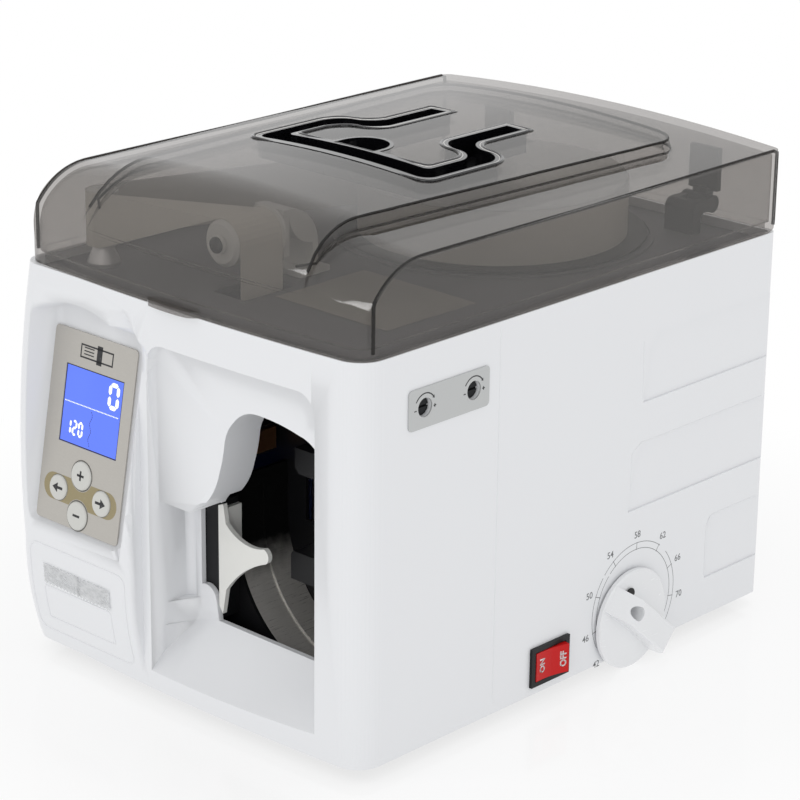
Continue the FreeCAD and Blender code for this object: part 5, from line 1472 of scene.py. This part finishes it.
def groove_path(inset):
    """The whole outline, with its left half the mirror of its right."""
    right = traced(groove_side(inset))
    return right + [Vector((-p.x, p.y)) for p in reversed(right)]


print("points round the groove:", len(groove_path(0)))

# %% Line and bead
trim_tree = surface_of("lid_trim")
trim_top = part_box("lid_trim")[1][2]
LINE_INSET, LINE_RADIUS = 2.2, 0.34
LIP_INSET, LIP_RADIUS = 0.9, 0.85


def on_trim(inset, radius):
    """The groove's path on the crowned trim, low enough for a bead to stay under its top."""
    points = []
    for point in groove_path(inset):
        x, y = (point.x + TRIM_X) * MM, point.y * MM
        hit = struck(trim_tree, Vector((x, y, trim_top + 0.01)), (0, 0, -1))
        height = hit.z if hit else trim_top
        points.append(Vector((x, y, min(height, trim_top - radius * MM))))
    return points


line_path, lip_path = on_trim(LINE_INSET, LINE_RADIUS), on_trim(LIP_INSET, LIP_RADIUS)
bead("trim_line", line_path, LINE_RADIUS, "silver_line", "lid", "plated_steel")
bead("trim_bead", lip_path, LIP_RADIUS, "gloss_black", "lid", "black_gloss")
print("bright line and black bead swept")

# %% [markdown]
# ## Dark lines in the lid's edges
# Light that crosses a sheet of smoked acrylic along its edge goes through much more of it than
# light that crosses it square on, so the edges of such a lid look like dark lines. A renderer
# would need many bounces inside the wall to show that. A dark, half-clear bead inside each edge
# shows it cheaply. Its path comes from rays onto the CAD lid: the outline of each side wall, and
# the brow of the raised middle with the groove at its foot.

# %% Edge finish
def edge_smoke(name):
    """Smoke so thick that little light gets through."""
    finish = Finish(name)
    film = finish.noise(12, 3)
    body = finish.surface(Base_Color=rgb(0.03, 0.028, 0.026), Roughness=film * 0.1 + 0.12)
    finish.done(finish.blend(film * 0.2 + 0.35, finish.clear(rgb(0.3, 0.28, 0.27)), body))


edge_smoke("edge_smoke")
print("all finishes but the floor:", len(finishes))

# %% Paths on the lid
lid_tree = surface_of("lid")
LID_LOW, LID_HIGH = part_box("lid")
SIDE_INSET = 1.4
SIDE_RAYS = 240
EDGE_SINK = 0.8
BROW_LEAN, FOOT_LEAN = 0.75, 0.3
EDGE_REACH, EDGE_STEP = 20, 0.2


def side_outline(side):
    """The outline of the lid's side wall, from its front rim over the top to its back rim."""
    x = side * (LID_HIGH[0] - SIDE_INSET * MM)
    centre = Vector((x, 0, LID_LOW[2] + 1.5 * MM))
    points = []
    for i in range(1, SIDE_RAYS):
        angle = math.pi * i / SIDE_RAYS
        away = Vector((0, -math.cos(angle), math.sin(angle)))
        hit = struck(lid_tree, centre + away * 0.5, -away)
        if hit is not None:
            points.append(hit - away * SIDE_INSET * MM * 0.6)
    return points


def edge_point(x, y, out_x, out_y, brow):
    """The brow (or the foot) of the raised middle's step, on a line outwards through a place."""
    best = None
    for i in range(-EDGE_REACH, EDGE_REACH + 1):
        reach = i * EDGE_STEP
        start = Vector(((x + out_x * reach) * MM, (y + out_y * reach) * MM, 0.4))
        hit = struck(lid_tree, start, (0, 0, -1))
        if hit is None:
            continue
        height = hit.z / MM + (BROW_LEAN if brow else FOOT_LEAN) * reach
        score = height if brow else -height
        if best is None or score > best[0]:
            best = (score, hit)
    return best[1] - Vector((0, 0, EDGE_SINK * MM)) if best else None


print("points on the side wall's outline:", len(side_outline(1)))

# %% Beads in the edges
STEP_HALF = 84
STEP_FLARE = 0.05
STEP_FRONT = -158
STEP_BACK = 117.5
STEP_CORNER = 14
CORNER_Y = STEP_BACK - STEP_CORNER
CORNER_X = STEP_HALF + STEP_FLARE * 104 - STEP_CORNER


def step_line(side, brow):
    """Along one side of the raised middle, round its rear corner, to the middle of its back."""
    along = range(STEP_FRONT, 100, 6)
    places = [(side * (STEP_HALF + STEP_FLARE * y), y, side, 0) for y in along]
    for i in range(9):
        x, y = round_the(CORNER_X, CORNER_Y, STEP_CORNER, 90 * i / 8)
        out_x, out_y = (x - CORNER_X) / STEP_CORNER, (y - CORNER_Y) / STEP_CORNER
        places.append((side * x, y, side * out_x, out_y))
    places += [(side * x, STEP_BACK, 0, 1) for x in range(70, -1, -7)]
    points = [edge_point(*place, brow) for place in places]
    return [point for point in points if point is not None]


for side, word in ((1, "right"), (-1, "left")):
    edges = {
        f"lid_side_edge_{word}": (side_outline(side), 1.0),
        f"lid_brow_{word}": (step_line(side, True), 0.8),
        f"lid_foot_{word}": (step_line(side, False), 0.7),
    }
    for name, (path, radius) in edges.items():
        bead(name, path, radius, "edge_smoke", "lid", "smoked_clear", closed=False)
print("the lid's edges run over", [round(v, 3) for v in LID_HIGH - LID_LOW], "m")

# %% [markdown]
# ## Fine lines on the casing
# The rear shell's side has stepped panels, and a thin seam parts the two shells. In so white a
# casing these shallow steps hardly show, so a hair-thin bead of the same plastic stands in each
# step. A shallow frame is also moulded round the console's foot, with a smaller one under the
# clear film. Each is drawn flat and lowered onto its shell by rays.

# %% Paths on the shells
side_tree = surface_of("rear_shell")
PANEL_BEAD = 0.24
CONSOLE_BEAD = 0.45


def split(start, end, step):
    """Points from one flat point to another, a few millimetres apart."""
    pieces = max(1, round(math.dist(start, end) / step))
    shares = [k / pieces for k in range(pieces + 1)]
    return [tuple(a + (b - a) * share for a, b in zip(start, end)) for share in shares]


def on_side(line, side):
    """A line of (y, z) corners on the rear shell's side, kept inside the casing's widest point."""
    limit = (cad_high[0] if side > 0 else -cad_low[0]) - PANEL_BEAD * MM
    points = []
    for start, end in zip(line, line[1:]):
        for y, z in split(start, end, 5):
            hit = struck(side_tree, at(side * 200, y, z), (-side, 0, 0))
            points.append(Vector((side * min(abs(hit.x), limit), hit.y, hit.z)))
    return points


def round_frame(left, low, right, high, radius):
    """A rectangle with round corners, with a point every few millimetres."""
    corners = [
        (right - radius, low + radius, -90),
        (right - radius, high - radius, 0),
        (left + radius, high - radius, 90),
        (left + radius, low + radius, 180),
    ]
    outline = []
    for x, z, start in corners:
        outline += arc(x, z, radius, start, start + 90, 6)
    points = []
    for start, end in zip(outline, outline[1:] + outline[:1]):
        points += split(start, end, 4)[:-1]
    return points


def on_shell(outline):
    """A flat outline on the front shell, seen from the front."""
    return [struck(shell_tree, at(x, -300, z), (0, 1, 0)) for x, z in outline]


print("points round the console's foot:", len(round_frame(-113, 9, -36, 62, 6)))

# %% Panels, seam and frames
PANEL_LINES = {
    "top": [(48.5, 178), (49.5, 146)],
    "mid": [(161, 120.6), (49, 120.6), (42, 116), (42, 85)],
    "low": [(161, 60.4), (115, 60.4), (111, 55), (111, 25)],
    "seam": [(-66.6, 213), (-66.6, 6)],
}
CONSOLE_FRAMES = {"frame": (-113, 9, -36, 62, 6), "step": (-103, 18, -49, 38, 2)}
casing = ("casing_white", "chassis", "body_white")
for side, word in ((1, "right"), (-1, "left")):
    for place, line in PANEL_LINES.items():
        bead(f"panel_{place}_{word}", on_side(line, side), PANEL_BEAD, *casing, closed=False)
for word, corners in CONSOLE_FRAMES.items():
    bead(f"console_{word}", on_shell(round_frame(*corners)), CONSOLE_BEAD, *casing)
print("panel lines:", 2 * len(PANEL_LINES), "console frames:", len(CONSOLE_FRAMES))

# %% [markdown]
# ## The screw in the top roller
# A dark pan-head screw with a cross recess holds the white roller. Its head could be spun from an
# outline, and a loft through five rings gives the same dome without a seam. The cross is two bars
# cut into it.

# %% Roller screw
HEAD_RINGS = ((1.0, 0.0), (1.0, 0.35), (0.93, 0.65), (0.75, 0.88), (0.45, 1.0))
HEAD_SIDES = 32
CROSS_TURNS = (20, 110)


def ring(radius, sides, out):
    """A circle's points at a height off the face."""
    turns = [2 * math.pi * i / sides for i in range(sides)]
    return [(radius * math.cos(turn), radius * math.sin(turn), out) for turn in turns]


def pan_head(name, middle, axis, radius, height):
    """A domed screw head with a cross, its face towards the axis."""
    towards = Vector(axis)
    across = towards.orthogonal().normalized()
    face = Face(middle, across, towards.cross(across))
    head = lofted(name, [ring(radius * r, HEAD_SIDES, height * h) for r, h in HEAD_RINGS], face)
    for turn in CROSS_TURNS:
        box = bar(0, 0, radius * 1.1, radius * 0.24, turn)
        levels = (height * 0.35, height * 1.6)
        tool = lofted("recess", [[(x, y, out) for x, y in box] for out in levels], face)
        head = shaped(head, "DIFFERENCE", tool)
    head.name = name
    return head


roller_low, roller_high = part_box("top_roller")
roller_middle = (roller_low + roller_high) / 2
roller_middle.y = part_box("roller_bracket")[0][1]
roller_screw = pan_head("roller_screw", roller_middle, (0, -1, 0), 4.4, 2.0)
dress(roller_screw, "gloss_black", "chassis")
print("roller screw:", len(roller_screw.data.polygons), "faces")

# %% [markdown]
# ## The dial's dimple and the screws at the back
# The dimple in the dial's grip has a dark floor. The casing's back is held by four small pan-head
# screws. One head is made, and Geometry Nodes put it at every place, all turned the same way.

# %% Dimple
DIMPLE = (36.7, 37.9)
DIMPLE_RADIUS = 3.9
DIMPLE_HIGH = 0.4

dial_tree = surface_of("dial_knob")
dimple_floor = struck(dial_tree, at(200, *DIMPLE), (-1, 0, 0))
dimple_face = Face(dimple_floor, (0, 1, 0), (0, 0, 1))
levels = ((1.0, 0.02), (1.0, DIMPLE_HIGH * 0.6), (0.9, DIMPLE_HIGH))
rings = [ring(DIMPLE_RADIUS * share, 40, out) for share, out in levels]
dimple = lofted("dial_dimple", rings, dimple_face)
dress(dimple, "satin_black", "dial")
print("dimple floor at x =", round(dimple_floor.x / MM, 2))


# %% Screws by Geometry Nodes
def places_tree():
    """A copy of a head at every vertex of a mesh of places."""
    grower = Grower("heads_at_places", "Head")
    head = {"Object": grower.inputs["Head"]}
    source = grower.node("GeometryNodeObjectInfo", "Geometry", head)
    spread = {"Points": grower.inputs["Geometry"], "Instance": source}
    grower.finish(grower.node("GeometryNodeInstanceOnPoints", "Instances", spread))
    return grower


back_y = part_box("rear_shell")[1][1] / MM
head = pan_head("screw_head", Vector((0, 0, 0)), (0, 1, 0), 3.4, 1.5)
corners = [at(side * 112, back_y, z) for side in (-1, 1) for z in (18, 196)]
places = meshed("back_screws", corners, [])
back_screws = places_tree().grow("back_screws", places, "plated_steel", Head=head)
bpy.data.objects.remove(head)
dress(back_screws, "plated_steel", "chassis")
print("back screws:", len(corners))

# %% [markdown]
# ## A film on the console and a card under the lid
# Two short lengths of clear film are stuck across the console's foot, one a little over the
# other, with creases and a lifted edge. A small card lies on the deck under the lid. They are
# stiff and held down, so no cloth simulation is needed: both are thin sheets with a little
# waviness, made from a grid with an upper side, an under side and an edge between them.

# %% Sheets
SHEET_HALF = 0.04


def sheet(name, width, height, cells, wave, seed):
    """A thin wavy sheet round the drawing's origin, with a few creases."""
    columns, rows = cells
    points, faces = [], []
    for side in (SHEET_HALF, -SHEET_HALF):
        for j in range(rows + 1):
            for i in range(columns + 1):
                u, v = i / columns, j / rows
                lift = math.sin(u * 9.1 + seed) * math.sin(v * 5.3 + seed * 1.7)
                lift += 0.5 * math.sin(u * 23 + v * 14 + seed * 2.3)
                ragged = 0.35 * math.sin(i * 2.1 + seed) * wave if j in (0, rows) else 0
                flat = ((u - 0.5) * width, (v - 0.5) * height + ragged)
                points.append((*flat, lift * wave * 0.25 + side))
    span = columns + 1
    layer = span * (rows + 1)
    for j in range(rows):
        for a in range(j * span, j * span + columns):
            cell = (a, a + 1, a + span + 1, a + span)
            faces += [cell, tuple(layer + i for i in (a + span, a + span + 1, a + 1, a))]
    edge = list(range(span)) + [span * (j + 1) - 1 for j in range(1, rows + 1)]
    edge += [layer - 1 - i for i in range(1, span)] + [span * (rows - j) for j in range(1, rows)]
    for a, b in zip(edge, edge[1:] + edge[:1]):
        faces.append((a, layer + a, layer + b, b))
    return placed(name, meshed(name, points, faces))


def lay(piece, face, x, y, tree, lift):
    """Lowers a sheet at a place of the face onto the surface behind it, and keeps its own waves."""
    for vertex in piece.data.vertices:
        across, up, wave = vertex.co
        hit = struck(tree, face.spot(across + x, up + y, 30), -face.out)
        vertex.co = hit + face.out * (lift + wave) * MM
    piece.data.update()


print("a sheet is", 2 * SHEET_HALF, "mm thick")

# %% Film and card
FILM_HIGH = 11.5
FILM_LIFT = 0.5
FILM_STEP = 0.2
FILMS = ((-12.5, 29, 0.0, 0.9, 1.0), (13.5, 27, -0.4, 1.5, 4.0))
CARD = (80, 66)
CARD_PLACE = (46, -75)
CARD_LIFT = 0.35
RING_HIGH = 1.5

front_face = Face(at(-75, -180, 45.8), (1, 0, 0), (0, 0, 1))
for i, (x, width, rise, wave, seed) in enumerate(FILMS):
    film = sheet(f"console_film_{i + 1}", width, FILM_HIGH, (30, 14), wave, seed)
    lay(film, front_face, x, rise, shell_tree, FILM_LIFT + FILM_STEP * i)
    dress(film, "strip_film", "chassis")

card = sheet("deck_card", *CARD, (24, 20), 0.5, 2.0)
card_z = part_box("deck")[1][2] / MM - RING_HIGH - FEET + CARD_LIFT
card.data.transform(Matrix.Translation(at(*CARD_PLACE, card_z)) @ Matrix.Scale(MM, 4))
dress(card, "card_paper", "chassis")
print("films:", len(FILMS), "card:", CARD, "mm")

# %% [markdown]
# ## Room, light and camera
# The machine stands on a pale floor that reaches far past what the camera sees. The floor takes
# the shadow and a faint mirror image near the machine and fades to plain white further out. The
# world lights everything softly from all sides, and it looks brighter than it lights, so that the
# backdrop and the reflections in the lid stay white. Four small lamps add the highlights along
# the lid's edges and keep the front a little brighter than the side.

# %% Floor
FLOOR_HALF = 6
FADE_START, FADE_END = 0.24, 0.42


def floor_finish(name):
    """A pale desk near the machine that fades into plain white."""
    finish = Finish(name)
    x, y = finish.axis("X"), finish.axis("Y")
    far = finish.ramp((x * x + y * y) ** 0.5, (FADE_START, BLACK), (FADE_END, WHITE))
    haze = finish.noise(300, 2)
    desk = finish.surface(
        Base_Color=finish.mix(haze, rgb(0.93, 0.93, 0.93), rgb(0.96, 0.96, 0.96)),
        Roughness=haze * 0.04 + 0.06,
    )
    glow = {"Color": rgb(1, 1, 1), "Strength": 1.0}
    white = finish.node("ShaderNodeEmission", None, glow)
    finish.done(finish.blend(far, finish.blend(0.75, desk, white), white))


floor_finish("studio_floor")
floor_corners = [
    (-FLOOR_HALF, -FLOOR_HALF, 0),
    (FLOOR_HALF, -FLOOR_HALF, 0),
    (FLOOR_HALF, FLOOR_HALF, 0),
    (-FLOOR_HALF, FLOOR_HALF, 0),
]
floor = placed("floor", meshed("floor", floor_corners, [(0, 1, 2, 3)]))
floor.data.materials.append(finishes["studio_floor"])
print("floor:", 2 * FLOOR_HALF, "m across")


# %% World and lamps
def studio_world(light, backdrop):
    """A white room that lights softly, and is brighter where it is seen or mirrored."""
    world = bpy.data.worlds.new("studio")
    world.use_nodes = True
    tree = world.node_tree
    tree.nodes.clear()
    link = tree.links.new

    def maths(operation, clamp=False):
        """A Math node of the world's tree."""
        node = tree.nodes.new("ShaderNodeMath")
        node.operation = operation
        node.use_clamp = clamp
        return node

    path = tree.nodes.new("ShaderNodeLightPath").outputs
    mirrored, seen = maths("ADD"), maths("ADD", clamp=True)
    strength = maths("MULTIPLY_ADD")
    strength.inputs[1].default_value = backdrop - light
    strength.inputs[2].default_value = light
    glow = tree.nodes.new("ShaderNodeBackground")
    glow.inputs["Color"].default_value = rgb(1, 1, 1)
    out = tree.nodes.new("ShaderNodeOutputWorld")
    link(path["Is Transmission Ray"], mirrored.inputs[0])
    link(path["Is Glossy Ray"], mirrored.inputs[1])
    link(path["Is Camera Ray"], seen.inputs[0])
    link(mirrored.outputs[0], seen.inputs[1])
    link(seen.outputs[0], strength.inputs[0])
    link(strength.outputs[0], glow.inputs["Strength"])
    link(glow.outputs[0], out.inputs["Surface"])
    bpy.context.scene.world = world


def lamp(name, place, size, power):
    """A rectangular lamp in metres and watts, aimed at the machine's middle."""
    light = bpy.data.lights.new(name, "AREA")
    light.shape = "RECTANGLE"
    light.size, light.size_y = size
    light.energy = power
    obj = placed(name, light)
    obj.location = place
    aim = Vector(MACHINE_MIDDLE) - Vector(place)
    obj.rotation_euler = aim.to_track_quat("-Z", "Y").to_euler()
    obj.visible_camera = False


MACHINE_MIDDLE = (0, 0, 0.13)
ROOM_LIGHT = 0.74
BACKDROP = 1.0
LAMPS = {
    "key_light": ((-0.9, -1.6, 1.5), (0.4, 0.3), 2.5),
    "top_light": ((0.2, 0.3, 1.9), (0.7, 0.7), 3),
    "side_light": ((1.9, 0.1, 0.9), (0.5, 0.5), 1),
    "front_light": ((0.9, -1.9, 0.7), (1.2, 1.0), 5),
}
studio_world(ROOM_LIGHT, BACKDROP)
for name, (place, size, power) in LAMPS.items():
    lamp(name, place, size, power)
print("lamps:", list(LAMPS))

# %% Camera
AZIMUTH, ELEVATION, ROLL = 43.3003, 19.6676, 0.6603
DISTANCE = 1.6
AIM = (-0.0094, 0.0031, 0.1305)
LENS, SENSOR = 129.63, 36


def look(azimuth, elevation, roll, distance, aim):
    """A camera that looks at a point from an azimuth and elevation in degrees."""
    turn, rise, lean = (math.radians(v) for v in (azimuth, elevation, roll))
    flat = math.cos(rise)
    back = Vector((math.sin(turn) * flat, -math.cos(turn) * flat, math.sin(rise)))
    level = Vector((math.cos(turn), math.sin(turn), 0))
    right = level * math.cos(lean) + back.cross(level) * math.sin(lean)
    turned = Matrix((right, back.cross(right), back)).transposed().to_4x4()
    camera = placed("camera", bpy.data.cameras.new("camera"))
    camera.data.lens = LENS
    camera.data.sensor_width = SENSOR
    camera.data.clip_end = 20
    camera.matrix_world = Matrix.Translation(Vector(aim) + back * distance) @ turned
    bpy.context.scene.camera = camera
    return camera


camera = look(AZIMUTH, ELEVATION, ROLL, DISTANCE, AIM)
bpy.context.scene.view_settings.view_transform = "Standard"
print("camera at", [round(v, 3) for v in camera.location])
